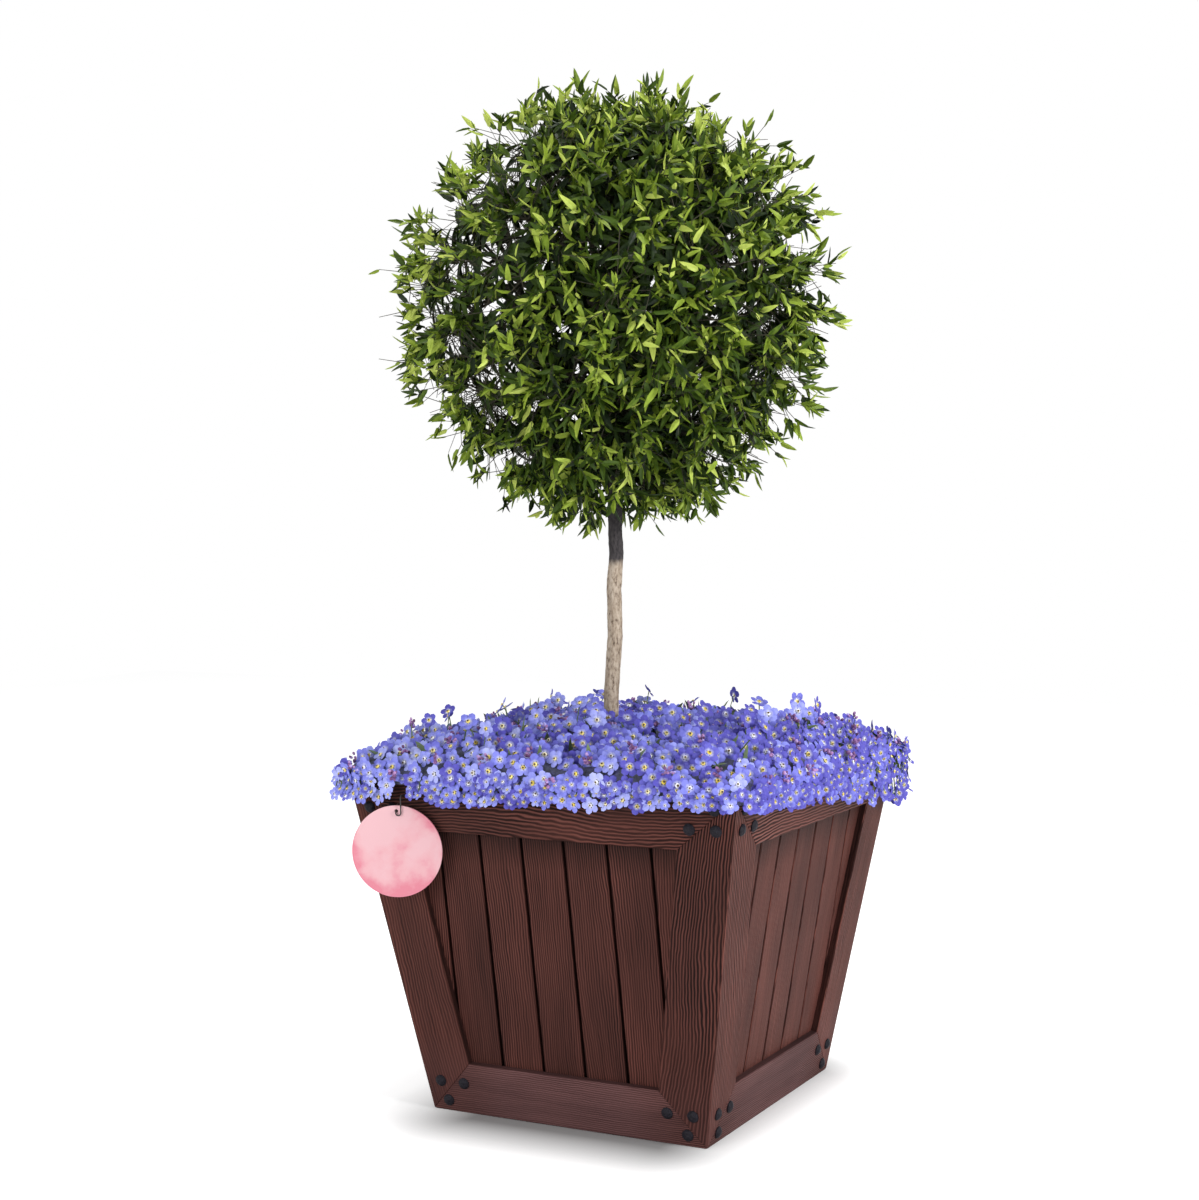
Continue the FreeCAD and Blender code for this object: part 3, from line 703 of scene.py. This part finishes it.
# %% Bark
bark_change = 0.52
change_blur = 0.004
ragged_height = 0.006
material, tree, shader = new_material("flecked_bark", Roughness=0.9, Specular_IOR_Level=0.2)
place = object_place(tree)
flecks = long_speckle(tree, place, (420.0, 420.0, 180.0), 4.0, 0.65)
streaks = long_speckle(tree, place, (160.0, 160.0, 38.0), 3.0, 0.6)
tan_colours = ((0.3, (0.12, 0.085, 0.06)), (0.47, (0.43, 0.35, 0.275)), (0.75, (0.64, 0.55, 0.45)))
tan_bark = ramp(tree, flecks, *tan_colours)
grey_bark = ramp(tree, flecks, (0.3, (0.02, 0.018, 0.02)), (0.75, (0.085, 0.076, 0.078)))
streak_tint = ramp(tree, streaks, (0.3, (0.7, 0.66, 0.62)), (0.6, (1.0, 1.0, 1.0)))
level = sums(tree, "SUBTRACT", separate(tree, place)["Z"], ragged_height / 2)
ragged = sums(tree, "MULTIPLY_ADD", streaks, ragged_height, level)
darker = spread(tree, ragged, bark_change - change_blur, bark_change + change_blur)
streaked = blended(tree, 1.0, tan_bark, streak_tint, "MULTIPLY")
wire(tree, shader, Base_Color=blended(tree, darker, streaked, grey_bark))
roughened(tree, shader, flecks, 0.0008)
make_piece("stem_with_bark", bm, [material], "tree_trunk")

# %% [markdown]
# ## Crown
# The crown is a clipped ball. Real ones are a tree of limbs, branches and twigs, with leaves in whorls at
# the twig tips. A hair system could fill the ball, but then the leaves hang on nothing. So the branching is
# built: limbs from the knuckle, branches off the limbs, and a twig to each sprig of leaves. No tip grows
# past the clipped ball. Noise keeps some places bare, and sky shows through where the photograph has gaps,
# mostly at the sides and low on the right.

# %% Shape of the crown
crown_low, crown_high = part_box("tree_crown")
crown_middle = (crown_low + crown_high) / 2
crown_radius = 0.226
clip_radius = 0.238
clip_room = Vector((0.019, 0.019, 0.019))
clip_low = cad_box[0] - clip_room
clip_high = cad_box[1] + clip_room
golden_turn = math.pi * (3.0 - math.sqrt(5.0))


def even_way(i, count):
    """Direction i of count that cover a ball evenly."""
    rise = 1.0 - 2.0 * (i + 0.5) / count
    level = math.sqrt(1.0 - rise * rise)
    return Vector((level * math.cos(i * golden_turn), level * math.sin(i * golden_turn), rise))


def bare(way, gap):
    """Whether a direction lies in a hollow between the tufts."""
    return noise.noise(way * 5.2 + Vector((4.0, 1.0, 2.0))) < gap


def past_clip(end):
    """How far a tip reaches past the clipped ball or past the part's own box."""
    from_middle = end - crown_middle
    over = from_middle.normalized() * max(0.0, from_middle.length - clip_radius)
    sides = zip(end - over, clip_low, clip_high)
    return over + Vector([min(0.0, place - low) + max(0.0, place - high) for place, low, high in sides])


print("crown middle:", [round(c, 3) for c in crown_middle])


# %% Gaps that show the sky
def within(value):
    """Value kept between 0 and 1."""
    return min(1.0, max(0.0, value))


sky_size = 48.0
sky_least = -0.43
sky_more = 0.36
left_from = 0.02
left_reach = 0.09
right_from = 0.05
right_reach = 0.1
corner_gap = Vector((0.12, -0.09, 0.0))
corner_reach = 0.08
photo_view = camera.matrix_world.inverted()
seen_middle = photo_view @ crown_middle


def sky_gap(point):
    """Whether the photograph's camera sees sky through the leaves here."""
    seen = photo_view @ point
    spot = seen * (seen_middle.z / seen.z) - seen_middle
    left = within((-spot.x - left_from) / left_reach)
    right = within((spot.x - right_from) / right_reach)
    corner = max(0.0, 1.0 - (spot - corner_gap).length / corner_reach)
    return noise.noise(spot * sky_size) < sky_least + sky_more * max(1.2 * left, 0.9 * right, corner)


print("camera to crown:", round(-seen_middle.z, 3), "m")


# %% Sticks and directions
def facing(direction, spin=0.0):
    """Turn that points +Z along a direction, after a spin about it."""
    return direction.to_track_quat("Z", "Y").to_matrix().to_4x4() @ Matrix.Rotation(spin, 4, "Z")


def stick(name, sides, taper):
    """Unit stick along +Z that narrows to a share of its thickness."""
    bm = bmesh.new()
    bmesh.ops.create_cone(bm, cap_ends=True, segments=sides, radius1=1.0, radius2=taper, depth=1.0)
    return to_mesh(name, bm)


def between(start, end, radius):
    """Place of a unit stick that runs from one point to another."""
    span = end - start
    size = Matrix.Diagonal((radius, radius, span.length, 1.0))
    return Matrix.Translation((start + end) / 2) @ facing(span) @ size


def random_way(draw):
    """Direction with no preference."""
    rise = draw.uniform(-1.0, 1.0)
    turn = draw.uniform(0.0, math.tau)
    level = math.sqrt(1.0 - rise * rise)
    return Vector((level * math.cos(turn), level * math.sin(turn), rise))


print("sticks and directions ready")


# %% Limbs and branches
def nearest(points):
    """Function that finds the nearest of some points."""
    finder = kdtree.KDTree(len(points))
    for i, point in enumerate(points):
        finder.insert(point, i)
    finder.balance()
    return lambda place: finder.find(place)[0]


crown_draw = random.Random(21)
limb_count = 11
branch_count = 130
leader_length = 0.24
leader_radius = 0.0063
fork_radius = 0.006
limb_radius = 0.0045
branch_radius = 0.0018
limb_reach = 0.42
branch_reaches = (0.6, 0.74)
fork_step = Vector((0.0, 0.0, 0.012))
fork = crown_middle - 5 * fork_step
limb_places = [between(crown_middle - Vector((0.0, 0.0, leader_length)), fork, leader_radius)]
limb_ends = []
for i in range(limb_count):
    end = crown_middle + even_way(i, limb_count) * limb_reach * crown_radius
    limb_places.append(between(fork, end, limb_radius))
    limb_places.append(between(fork, fork + fork_step, fork_radius))
    fork = fork + fork_step
    limb_ends.append(end)

nearest_limb = nearest(limb_ends)
branch_ends = []
for i in range(branch_count):
    way = (even_way(i, branch_count) + 0.15 * random_way(crown_draw)).normalized()
    end = crown_middle + way * crown_radius * crown_draw.uniform(*branch_reaches)
    limb_places.append(between(nearest_limb(end), end, branch_radius))
    branch_ends.append(end)
print("limbs and branches:", len(limb_places))

# %% Twigs with a sprig at each tip
sprig_count = 4150
sprig_lengths = (0.022, 0.036)
outer_foot = 0.88
layer_depth = 0.26
outer_depth = 0.45
outer_hollow = -0.17
inner_hollow = -0.6
twig_radius = 0.00045
sprig_radius = 0.0004
nearest_branch = nearest(branch_ends)
twig_places = []
sprigs = []
for i in range(sprig_count):
    way = (even_way(i, sprig_count) + 0.06 * random_way(crown_draw)).normalized()
    depth = crown_draw.random() ** 1.3
    if bare(way, outer_hollow if depth < outer_depth else inner_hollow):
        continue
    tuft = 0.05 * noise.noise(way * 3.1) + 0.06 * noise.noise(way * 8.0)
    lump = 1.0 + tuft - 0.15 * max(0.0, way.z - 0.3)
    foot = crown_middle + way * crown_radius * lump * (outer_foot - layer_depth * depth)
    start = nearest_branch(foot)
    sag = Vector((0.0, 0.0, -0.25 if way.z < 0.3 else 0.0))
    drift = 0.5 * way + 0.2 * (foot - start).normalized() + sag
    out_way = (drift + 0.75 * random_way(crown_draw)).normalized()
    tip = foot + out_way * crown_draw.uniform(*sprig_lengths)
    tip -= past_clip(tip)
    if sky_gap(foot) and sky_gap(tip):
        continue
    twig_places.append(between(start, foot, twig_radius))
    twig_places.append(between(foot, tip, sprig_radius))
    sprigs.append((foot, tip, out_way, 1.0 - depth))

twig_colours = ((0.3, (0.016, 0.015, 0.008)), (0.75, (0.08, 0.07, 0.045)))
material, tree, shader, knots = speckled("twig_bark", 260.0, 3.0, *twig_colours, Roughness=0.85)
roughened(tree, shader, knots, 0.0004)
bm = strew(stick("limb", 7, 0.65), limb_places)
strew(stick("twig", 4, 0.7), twig_places, bm)
make_piece("crown_branches", bm, [material], "tree_limbs")

# %% [markdown]
# The leaf is a lance-shaped blade 12 to 25 mm long, folded a little along its midrib. A flattened ball with
# four sides already has that shape: two sides make the upper face, two the lower, and the poles are the
# stalk and the tip. It stays closed and has only sixteen faces, which matters when there are thousands of
# them.

# %% Leaf blade
leaf_thickness = 0.05


def leaf_blade(name, width, fold, droop):
    """Unit-long leaf along +Y, with its upper face towards +Z."""
    bm = bmesh.new()
    bmesh.ops.create_uvsphere(bm, u_segments=4, v_segments=4, radius=0.5)
    bmesh.ops.rotate(bm, verts=bm.verts, matrix=Matrix.Rotation(-math.pi / 2, 3, "X"))
    bmesh.ops.translate(bm, verts=bm.verts, vec=(0.0, 0.5, 0.0))
    bmesh.ops.scale(bm, verts=bm.verts, vec=(width, 1.0, leaf_thickness))
    for vert in bm.verts:
        along = vert.co.y
        vert.co.x *= 1.35 - 0.9 * along
        vert.co.z += fold * abs(vert.co.x) - droop * along * along
    bmesh.ops.recalc_face_normals(bm, faces=bm.faces)
    return to_mesh(name, bm)


leaf = leaf_blade("lance_leaf", width=0.3, fold=0.45, droop=0.12)
print("leaf faces:", len(leaf.polygons))


# %% Leaf material
def stored(tree, name):
    """Value that a mesh keeps under a name."""
    return put(tree, "Attribute", {"attribute_name": name}).outputs["Fac"]


def mottled(name, scale, detail, strength, *stops, **sockets):
    """Material coloured by the tone of each copy, with fine noise over it."""
    material, tree, shader = new_material(name, **sockets)
    mottle = sums(tree, "SUBTRACT", speckle(tree, object_place(tree), scale, detail), 0.5)
    colour = ramp(tree, sums(tree, "MULTIPLY_ADD", mottle, strength, stored(tree, "tone")), *stops)
    wire(tree, shader, Base_Color=colour)
    return material, tree, shader, colour


leaf_colours = (
    (0.0, (0.007, 0.016, 0.004)),
    (0.4, (0.052, 0.094, 0.009)),
    (0.7, (0.245, 0.34, 0.035)),
    (1.0, (0.48, 0.57, 0.115)),
)
waxy = {"Roughness": 0.45, "Specular_IOR_Level": 0.14}
waxy_leaf = mottled("waxy_leaf", 220.0, 2.0, 0.3, *leaf_colours, **waxy)[0]
print("leaf colours:", len(leaf_colours))

# %% [markdown]
# The leaves stand round each sprig by the golden angle, wide at its foot and closer at its tip. Those
# further out, higher and on the camera's left are coloured lighter, and those deeper in darker: this is
# painted light and shade. Inside them a layer of leaves coloured dark as painted shade gives depth.

# %% Leaves on the sprigs
leaf_lengths = (0.0115, 0.0205)
leaf_leans = (25.0, 75.0)
leaf_batches = {name: ([], []) for name in ("top", "upper", "lower", "bottom", "shade")}
for foot, tip, way, outness in sprigs:
    leaf_total = crown_draw.randint(6, 9)
    spin = crown_draw.uniform(0.0, math.tau)
    side_way = way.orthogonal().normalized()
    rise = (foot.z - crown_middle.z) / crown_radius
    leftward = max(0.0, seen_middle.x - (photo_view @ foot).x) / crown_radius
    batch = "top" if rise > 0.36 else "upper" if rise > 0.0 else "lower" if rise > -0.36 else "bottom"
    places, tones = leaf_batches[batch]
    for k in range(leaf_total):
        share = k / (leaf_total - 1)
        outward = Matrix.Rotation(spin + k * golden_turn, 4, way) @ side_way
        lean = math.radians(crown_draw.uniform(*leaf_leans) * (1.0 - 0.5 * share))
        blade_way = (math.cos(lean) * way + math.sin(lean) * outward).normalized()
        upper = (way - blade_way * way.dot(blade_way) + 0.7 * random_way(crown_draw)).normalized()
        across_way = blade_way.cross(upper).normalized()
        upper = across_way.cross(blade_way).normalized()
        length = crown_draw.uniform(*leaf_lengths) * (1.25 - 0.25 * outness)
        turn = Matrix((across_way, blade_way, upper)).transposed().to_4x4()
        seat = foot.lerp(tip, share)
        seat -= past_clip(seat + blade_way * length)
        if sky_gap(seat + blade_way * length / 2):
            continue
        places.append(Matrix.Translation(seat) @ turn @ Matrix.Scale(length, 4))
        # Painted light and shade: leaves further out, higher, nearer the sprig tip and further left get a
        # lighter tone.
        light = 0.36 * outness + 0.26 * share + 0.08 * rise + 0.12 * leftward
        tones.append(within(light + crown_draw.gauss(0.0, 0.3)))
print("leaves on sprigs:", sum(len(places) for places, tones in leaf_batches.values()))

# %% Leaves in the shade
shade_count = 5200
shade_hollow = -0.42
shade_depths = (0.68, 0.78)
shade_lengths = (0.019, 0.027)
places, tones = leaf_batches["shade"]
for i in range(shade_count):
    way = (even_way(i, shade_count) + 0.05 * random_way(crown_draw)).normalized()
    if bare(way, shade_hollow):
        continue
    seat = crown_middle + way * crown_radius * crown_draw.uniform(*shade_depths)
    upper = (way + 0.5 * random_way(crown_draw)).normalized()
    turn = facing(upper, crown_draw.uniform(0.0, math.tau))
    length = crown_draw.uniform(*shade_lengths)
    if sky_gap(seat):
        continue
    places.append(Matrix.Translation(seat) @ turn @ Matrix.Scale(length, 4))
    # A low tone: painted shade inside the crown.
    tones.append(within(crown_draw.gauss(0.12, 0.12)))
for batch, (places, tones) in leaf_batches.items():
    piece = make_piece("crown_leaves_" + batch, strew(leaf, places), [waxy_leaf], "tree_crown")
    mark_copies(piece, "tone", tones)

# %% [markdown]
# ## Flower bed
# The bed is a low mound of small blue flowers that spills over the rim. Scattering flowers on the bare soil
# would leave holes, so a leafy cushion comes first. Its dark blue-violet colour is painted shade: it stands
# for flowers in shadow between the heads. A rounded square is extruded step by step: up out of the liner,
# out over the rim, down in front of it, and back up and in over the mound. Noise makes it lumpy, and its
# corners sag.

# %% Levels of the cushion
bed_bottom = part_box("flower_bed")[0].z
bed_points = [v.co for v in nodes["flower_bed"].data.vertices]
plug_half = max(p.x for p in bed_points if p.z < bed_bottom + 0.001) - 0.001
plug_level = bed_bottom + 0.0005
rim_clear = 0.0045
skirt_half = rim_half + rim_clear
skirt_outer = skirt_half + 0.003
skirt_drop = 0.005
shoulder_rise = 0.004
mound_rise = 0.030
mound_steps = 10
cushion_levels = [
    (plug_half, rim_level + rim_clear),
    (skirt_half, rim_level + rim_clear),
    (skirt_half, rim_level - skirt_drop),
    (skirt_outer, rim_level - skirt_drop),
    (skirt_outer, rim_level + shoulder_rise),
]
for i in range(1, mound_steps + 1):
    share = i / mound_steps
    rise = shoulder_rise + (mound_rise - shoulder_rise) * math.sin(share * math.pi / 2) ** 0.6
    cushion_levels.append((0.015 + (skirt_half - 0.012) * (1.0 - share ** 2), rim_level + rise))
print("cushion levels:", len(cushion_levels))

# %% Leafy cushion in painted shade
plug_corner = 0.01
edge_cuts = 27
corner_sag = 0.014
lump_depth = 0.003
wave_depth = 0.012
lumpy_from = rim_level + 0.007
lowest_top = rim_level + 0.006
bm = bmesh.new()
plug_place = Matrix.Translation((0.0, 0.0, plug_level))
bmesh.ops.create_grid(bm, x_segments=1, y_segments=1, size=plug_half, matrix=plug_place)
bmesh.ops.bevel(
    bm, geom=bm.verts[:], offset=plug_corner, segments=3, profile=0.5, affect="VERTICES", material=-1
)
sides = [e for e in bm.edges if e.calc_length() > plug_half]
bmesh.ops.subdivide_edges(bm, edges=sides, cuts=edge_cuts)
bottom = bm.faces[:][0]
top = bottom
half = plug_half
level = plug_level
for next_half, next_level in cushion_levels:
    top = grow(bm, top, top is bottom)
    share = next_half / half
    bmesh.ops.scale(bm, verts=top.verts[:], vec=(share, share, 1.0))
    bmesh.ops.translate(bm, verts=top.verts[:], vec=(0.0, 0.0, next_level - level))
    half = next_half
    level = next_level
print("cushion edges not shared by two faces:", sum(not e.is_manifold for e in bm.edges))
bmesh.ops.recalc_face_normals(bm, faces=bm.faces)
bm.normal_update()
for vert in bm.verts:
    if vert.co.z > lumpy_from:
        lump = noise.noise(vert.co * 38.0) + 0.6 * noise.noise(vert.co * 95.0)
        vert.co += vert.normal * lump_depth * lump
        corner = max(0.0, abs(vert.co.x * vert.co.y) / skirt_half ** 2 - 0.5) / 0.5
        sagged = vert.co.z + wave_depth * noise.noise(vert.co * 17.0) - corner_sag * corner
        vert.co.z = max(lowest_top, sagged)
for face in bm.faces:
    face.smooth = True

material, tree, shader = new_material("leafy_cushion_in_painted_shade", Roughness=0.8)
clumps = speckle(tree, object_place(tree), 120.0, 4.0, 0.6)
# Painted shade: the cushion is coloured dark blue-violet, as flowers in shadow between the heads.
cushion_shade_colours = ((0.3, (0.025, 0.03, 0.035)), (0.55, (0.065, 0.068, 0.14)), (0.75, (0.13, 0.125, 0.38)))
wire(tree, shader, Base_Color=ramp(tree, clumps, *cushion_shade_colours))
roughened(tree, shader, clumps, 0.004)
cushion = make_piece("leafy_cushion_in_painted_shade", bm, [material], "flower_bed")

# %% [markdown]
# Flowers are strewn over the mound with an even spacing. Random points alone would clump, so a point is
# kept only if no kept point is closer than the spacing. An extrusion doesn't give its faces in a fixed
# order, so they are put in order first, and each run draws the same flowers.


# %% Even scattering
def ordered_triangles(mesh):
    """Triangles of a mesh, in an order that depends on its vertices alone."""
    fans = []
    for polygon in mesh.polygons:
        first = list(polygon.vertices).index(min(polygon.vertices))
        ring = [*polygon.vertices[first:], *polygon.vertices[:first]]
        fans += [(ring[0], b, c) for b, c in zip(ring[1:], ring[2:])]
    return [[mesh.vertices[i].co for i in fan] for fan in sorted(fans)]


def scattered(mesh, draw, tries, steep_spacing, flat_spacing):
    """Points on a mesh's upper side, each with its normal, spaced by how steep it is there."""
    faces = [(a, b, c, (b - a).cross(c - a)) for a, b, c in ordered_triangles(mesh)]
    upper = [f for f in faces if f[0].z > rim_level + 0.004 and f[3].z > 0.0]
    areas = np.cumsum([f[3].length / 2 for f in upper])
    kept = np.zeros((0, 3))
    found = []
    for _ in range(tries):
        a, b, c, square = upper[int(np.searchsorted(areas, draw.random() * areas[-1]))]
        s = math.sqrt(draw.random())
        r = draw.random()
        point = a * (1 - s) + b * (s * (1 - r)) + c * (s * r)
        normal = square.normalized()
        spacing = steep_spacing + (flat_spacing - steep_spacing) * normal.z ** 2
        if len(kept) and np.min(np.linalg.norm(kept - np.array(point), axis=1)) < spacing:
            continue
        kept = np.vstack([kept, np.array(point)])
        found.append((point, normal))
    return found


def outward_at(point):
    """Level direction away from the planter, square to its nearest side but rounded at the corners."""
    return Vector((point.x ** 3, point.y ** 3, 0.0)).normalized()


def edge_share(point):
    """How far a point of the bed lies from the middle, as a share of the way to the rim."""
    return max(abs(point.x), abs(point.y)) / skirt_half


flower_draw = random.Random(31)
mound_points = scattered(cushion.data, flower_draw, tries=20000, steep_spacing=0.0098, flat_spacing=0.0125)
print("places on the mound:", len(mound_points))

# %% [markdown]
# A forget-me-not has five round petals about a small raised ring, yellow in young flowers and white in old
# ones, with a dark throat. Each petal is a very shallow cone, and the eye is a short one with its top cut
# off: fifty faces in all. Every vertex stores how far out it lies, so the material can fade the petals
# towards the eye.

# %% Flower shape
petal_count = 5
petal_sides = 7
petal_twist = math.radians(7.0)
petal_rise = math.radians(9.0)


def forget_me_not(name):
    """Flower of radius 1 that faces +Z."""
    bm = bmesh.new()
    for i in range(petal_count):
        place = (
            Matrix.Rotation(math.tau * i / petal_count, 4, "Z")
            @ Matrix.Translation((0.0, 0.58, 0.05))
            @ Matrix.Rotation(petal_rise, 4, "X")
            @ Matrix.Rotation(petal_twist, 4, "Y")
            @ Matrix.Diagonal((0.41, 0.42, 1.0, 1.0))
            @ Matrix.Rotation(math.pi / petal_sides, 4, "Z")
        )
        bmesh.ops.create_cone(
            bm, cap_ends=True, segments=petal_sides, radius1=1.0, radius2=0.0, depth=0.1, matrix=place
        )
    place = Matrix.Translation((0.0, 0.0, 0.1))
    eye = bmesh.ops.create_cone(
        bm, cap_ends=True, segments=8, radius1=0.22, radius2=0.11, depth=0.14, matrix=place
    )
    bm.normal_update()
    for face in {f for v in eye["verts"] for f in v.link_faces}:
        face.material_index = 2 if face.normal.z > 0.9 else 1
    mesh = to_mesh(name, bm)
    reach = mesh.attributes.new("reach", "FLOAT", "POINT")
    for item, vert in zip(reach.data, mesh.vertices):
        item.value = vert.co.xy.length
    return mesh


flower = forget_me_not("forget_me_not")
print("flower faces:", len(flower.polygons))

# %% Petal, eye and throat materials
petal_colours = ((0.0, (0.085, 0.075, 0.43)), (0.5, (0.225, 0.245, 0.77)), (1.0, (0.46, 0.5, 0.95)))
silky = {"Roughness": 0.55, "Specular_IOR_Level": 0.25}
blue_petal, tree, shader, petal = mottled("blue_petal", 420.0, 3.0, 0.25, *petal_colours, **silky)
near_eye = spread(tree, stored(tree, "reach"), 0.18, 0.5, 0.75, 0.0)
wire(tree, shader, Base_Color=blended(tree, near_eye, petal, (0.78, 0.8, 0.96)))

flower_eye, tree, shader = new_material("flower_eye", Roughness=0.6)
eye_colours = ((0.0, (0.9, 0.68, 0.08)), (0.62, (0.9, 0.78, 0.3)), (0.72, (0.9, 0.9, 0.86)))
wire(tree, shader, Base_Color=ramp(tree, stored(tree, "age"), *eye_colours))

throat_colours = ((0.3, (0.05, 0.03, 0.02)), (0.7, (0.16, 0.1, 0.04)))
flower_throat = speckled("flower_throat", 900.0, 2.0, *throat_colours, Roughness=0.8)[0]
flower_materials = [blue_petal, flower_eye, flower_throat]
print("flower materials:", [m.name for m in flower_materials])

# %% [markdown]
# Each flower stands on a short stem and looks outwards, and turns a little to the light, as flowers do.
# Some stand taller, which breaks the outline.

# %% Flowers on the mound
hook_points = [v.co for v in nodes["tag_hook"].data.vertices]
hook_room = 0.0025
sunward = Vector((0.42, -0.8, 0.48))
stem_radius = 0.0007
tall_share = 0.15
tall_edge = 0.85
tall_lifts = (0.013, 0.027)
short_lifts = (0.004, 0.011)
flower_radii = (0.0078, 0.0106)
blooms = []
stem_places = []


def near_hook(point, radius):
    """Whether a flower would touch the hook."""
    room = (0.6 * radius + hook_room, 2 * hook_room, 0.6 * radius + hook_room)
    return any(all(abs(d) < r for d, r in zip(point - p, room)) for p in hook_points)


def bloom(root, head, way, radius):
    """One flower, with its tone and age, on its stem, unless the hook is in its way."""
    if near_hook(head, radius):
        return
    turn = facing(way, flower_draw.uniform(0.0, math.tau))
    place = Matrix.Translation(head) @ turn @ Matrix.Scale(radius, 4)
    # Painted shade: flowers that face the right get a lower tone.
    tone = within(flower_draw.gauss(0.5, 0.27) - 0.7 * max(0.0, way.x))
    blooms.append((place, tone, flower_draw.random()))
    stem_places.append(between(root, head - way * 0.0004, stem_radius))


for point, normal in mound_points:
    edge = edge_share(point)
    lit_way = 0.25 * normal + 0.8 * edge * outward_at(point) + (1.1 - 0.6 * edge) * sunward
    way = (lit_way + 0.5 * random_way(flower_draw)).normalized()
    if flower_draw.random() < tall_share and edge < tall_edge:
        lift = flower_draw.uniform(*tall_lifts)
    else:
        lift = flower_draw.uniform(*short_lifts) * (1.1 - 0.5 * edge)
    stem_way = (normal + 0.3 * random_way(flower_draw)).normalized()
    bloom(point - normal * 0.003, point + stem_way * lift, way, flower_draw.uniform(*flower_radii))
print("flowers on the mound:", len(blooms))

# %% [markdown]
# Along the rim smaller flowers hang in a fringe. It is longest at the back right corner and shortest at the
# front right, and it leaves room for the wire hook of the tag.

# %% Fringe
fringe_at_corner = {"front": 0.021, "right": 0.007, "back": 0.05, "left": 0.03}
fringe_tries = 1600
fringe_spacing = 0.0066
fringe_radii = (0.0048, 0.0085)
fringe_stands = (0.004, 0.010)
for side_number, side in enumerate(side_order):
    next_side = side_order[(side_number + 1) % 4]
    turn = Matrix.Rotation(math.pi / 2 * side_number, 4, "Z")
    hung = []
    for _ in range(fringe_tries):
        share = flower_draw.random()
        fall = fringe_at_corner[side] * (1 - share) + fringe_at_corner[next_side] * share
        drop = flower_draw.uniform(-0.006, fall * flower_draw.uniform(0.6, 1.1))
        along = (2 * share - 1) * (rim_half + 0.008)
        if any(math.hypot(along - a, drop - d) < fringe_spacing for a, d in hung):
            continue
        hung.append((along, drop))
        radius = flower_draw.uniform(*fringe_radii)
        head = turn @ Vector((along, -skirt_half - flower_draw.uniform(*fringe_stands), rim_level - drop))
        way = (0.8 * outward_at(head) + 0.5 * sunward + 0.5 * random_way(flower_draw)).normalized()
        root = turn @ Vector((along, -skirt_half - 0.002, rim_level + 0.004))
        bloom(root, head, way, radius)
print("flowers with the fringe:", len(blooms))

# %% Flowers and stems
halves = {"front": [], "back": []}
for flower_data in blooms:
    spot = flower_data[0].translation
    halves["front" if spot.y - 0.6 * spot.x < 0.0 else "back"].append(flower_data)
for part, chosen in halves.items():
    places, tones, ages = zip(*chosen)
    bm = strew(flower, places)
    piece = make_piece("bed_flowers_" + part, bm, flower_materials, "flower_bed")
    mark_copies(piece, "tone", tones)
    mark_copies(piece, "age", ages)

stem_colours = ((0.3, (0.045, 0.09, 0.02)), (0.75, (0.14, 0.2, 0.06)))
material = speckled("green_stem", 150.0, 2.0, *stem_colours, Roughness=0.6)[0]
make_piece("bed_stems", strew(stick("stem", 4, 0.8), stem_places), [material], "flower_bed")

# %% [markdown]
# Buds and leaves fill what is left: tight clusters of pink and violet buds, and soft grey-green leaves that
# look out between the flowers.

# %% Buds
bm = bmesh.new()
bmesh.ops.create_icosphere(bm, subdivisions=1, radius=1.0)
bmesh.ops.scale(bm, verts=bm.verts, vec=(0.8, 0.8, 1.15))
for face in bm.faces:
    face.smooth = True
bud = to_mesh("bud", bm)
bud_draw = random.Random(41)
cluster_radius = 0.008
bud_sizes = (0.0014, 0.0024)
bud_places = []
bud_tones = []
bud_points = scattered(cushion.data, bud_draw, tries=4000, steep_spacing=0.03, flat_spacing=0.036)
for point, normal in bud_points:
    way = (normal + 0.5 * outward_at(point) + 0.3 * random_way(bud_draw)).normalized()
    heart = point + way * bud_draw.uniform(0.008, 0.014)
    if near_hook(heart, cluster_radius):
        continue
    for _ in range(bud_draw.randint(7, 12)):
        aside = random_way(bud_draw)
        seat = heart + aside * bud_draw.uniform(0.002, 0.006)
        size = Matrix.Scale(bud_draw.uniform(*bud_sizes), 4)
        bud_places.append(Matrix.Translation(seat) @ facing((aside + way).normalized()) @ size)
        bud_tones.append(bud_draw.random())

bud_colours = (
    (0.0, (0.1, 0.035, 0.12)),
    (0.45, (0.2, 0.08, 0.25)),
    (0.8, (0.45, 0.24, 0.5)),
    (1.0, (0.4, 0.4, 0.85)),
)
material = mottled("violet_bud", 600.0, 2.0, 0.3, *bud_colours, Roughness=0.5)[0]
piece = make_piece("bed_buds", strew(bud, bud_places), [material], "flower_bed")
mark_copies(piece, "tone", bud_tones)

# %% Leaves of the bed
bed_leaf = leaf_blade("bed_leaf", width=0.3, fold=0.25, droop=0.25)
leaf_draw = random.Random(51)
leaf_edge = 0.93
leaf_room = 0.02
bed_leaf_lengths = (0.015, 0.026)
leaf_places = []
leaf_tones = []
leaf_points = scattered(cushion.data, leaf_draw, tries=5000, steep_spacing=0.018, flat_spacing=0.02)
for point, normal in leaf_points:
    way = (0.8 * normal + 0.8 * outward_at(point) + 0.8 * random_way(leaf_draw)).normalized()
    if edge_share(point) > leaf_edge or near_hook(point, leaf_room):
        continue
    turn = facing(way, leaf_draw.uniform(0.0, math.tau)) @ Matrix.Rotation(math.pi / 2, 4, "X")
    size = Matrix.Scale(leaf_draw.uniform(*bed_leaf_lengths), 4)
    leaf_places.append(Matrix.Translation(point - normal * 0.004) @ turn @ size)
    leaf_tones.append(leaf_draw.random())

soft_colours = ((0.0, (0.03, 0.05, 0.025)), (1.0, (0.17, 0.24, 0.11)))
material = mottled("soft_leaf", 380.0, 3.0, 0.35, *soft_colours, Roughness=0.7)[0]
piece = make_piece("bed_leaves", strew(bed_leaf, leaf_places), [material], "flower_bed")
mark_copies(piece, "tone", leaf_tones)
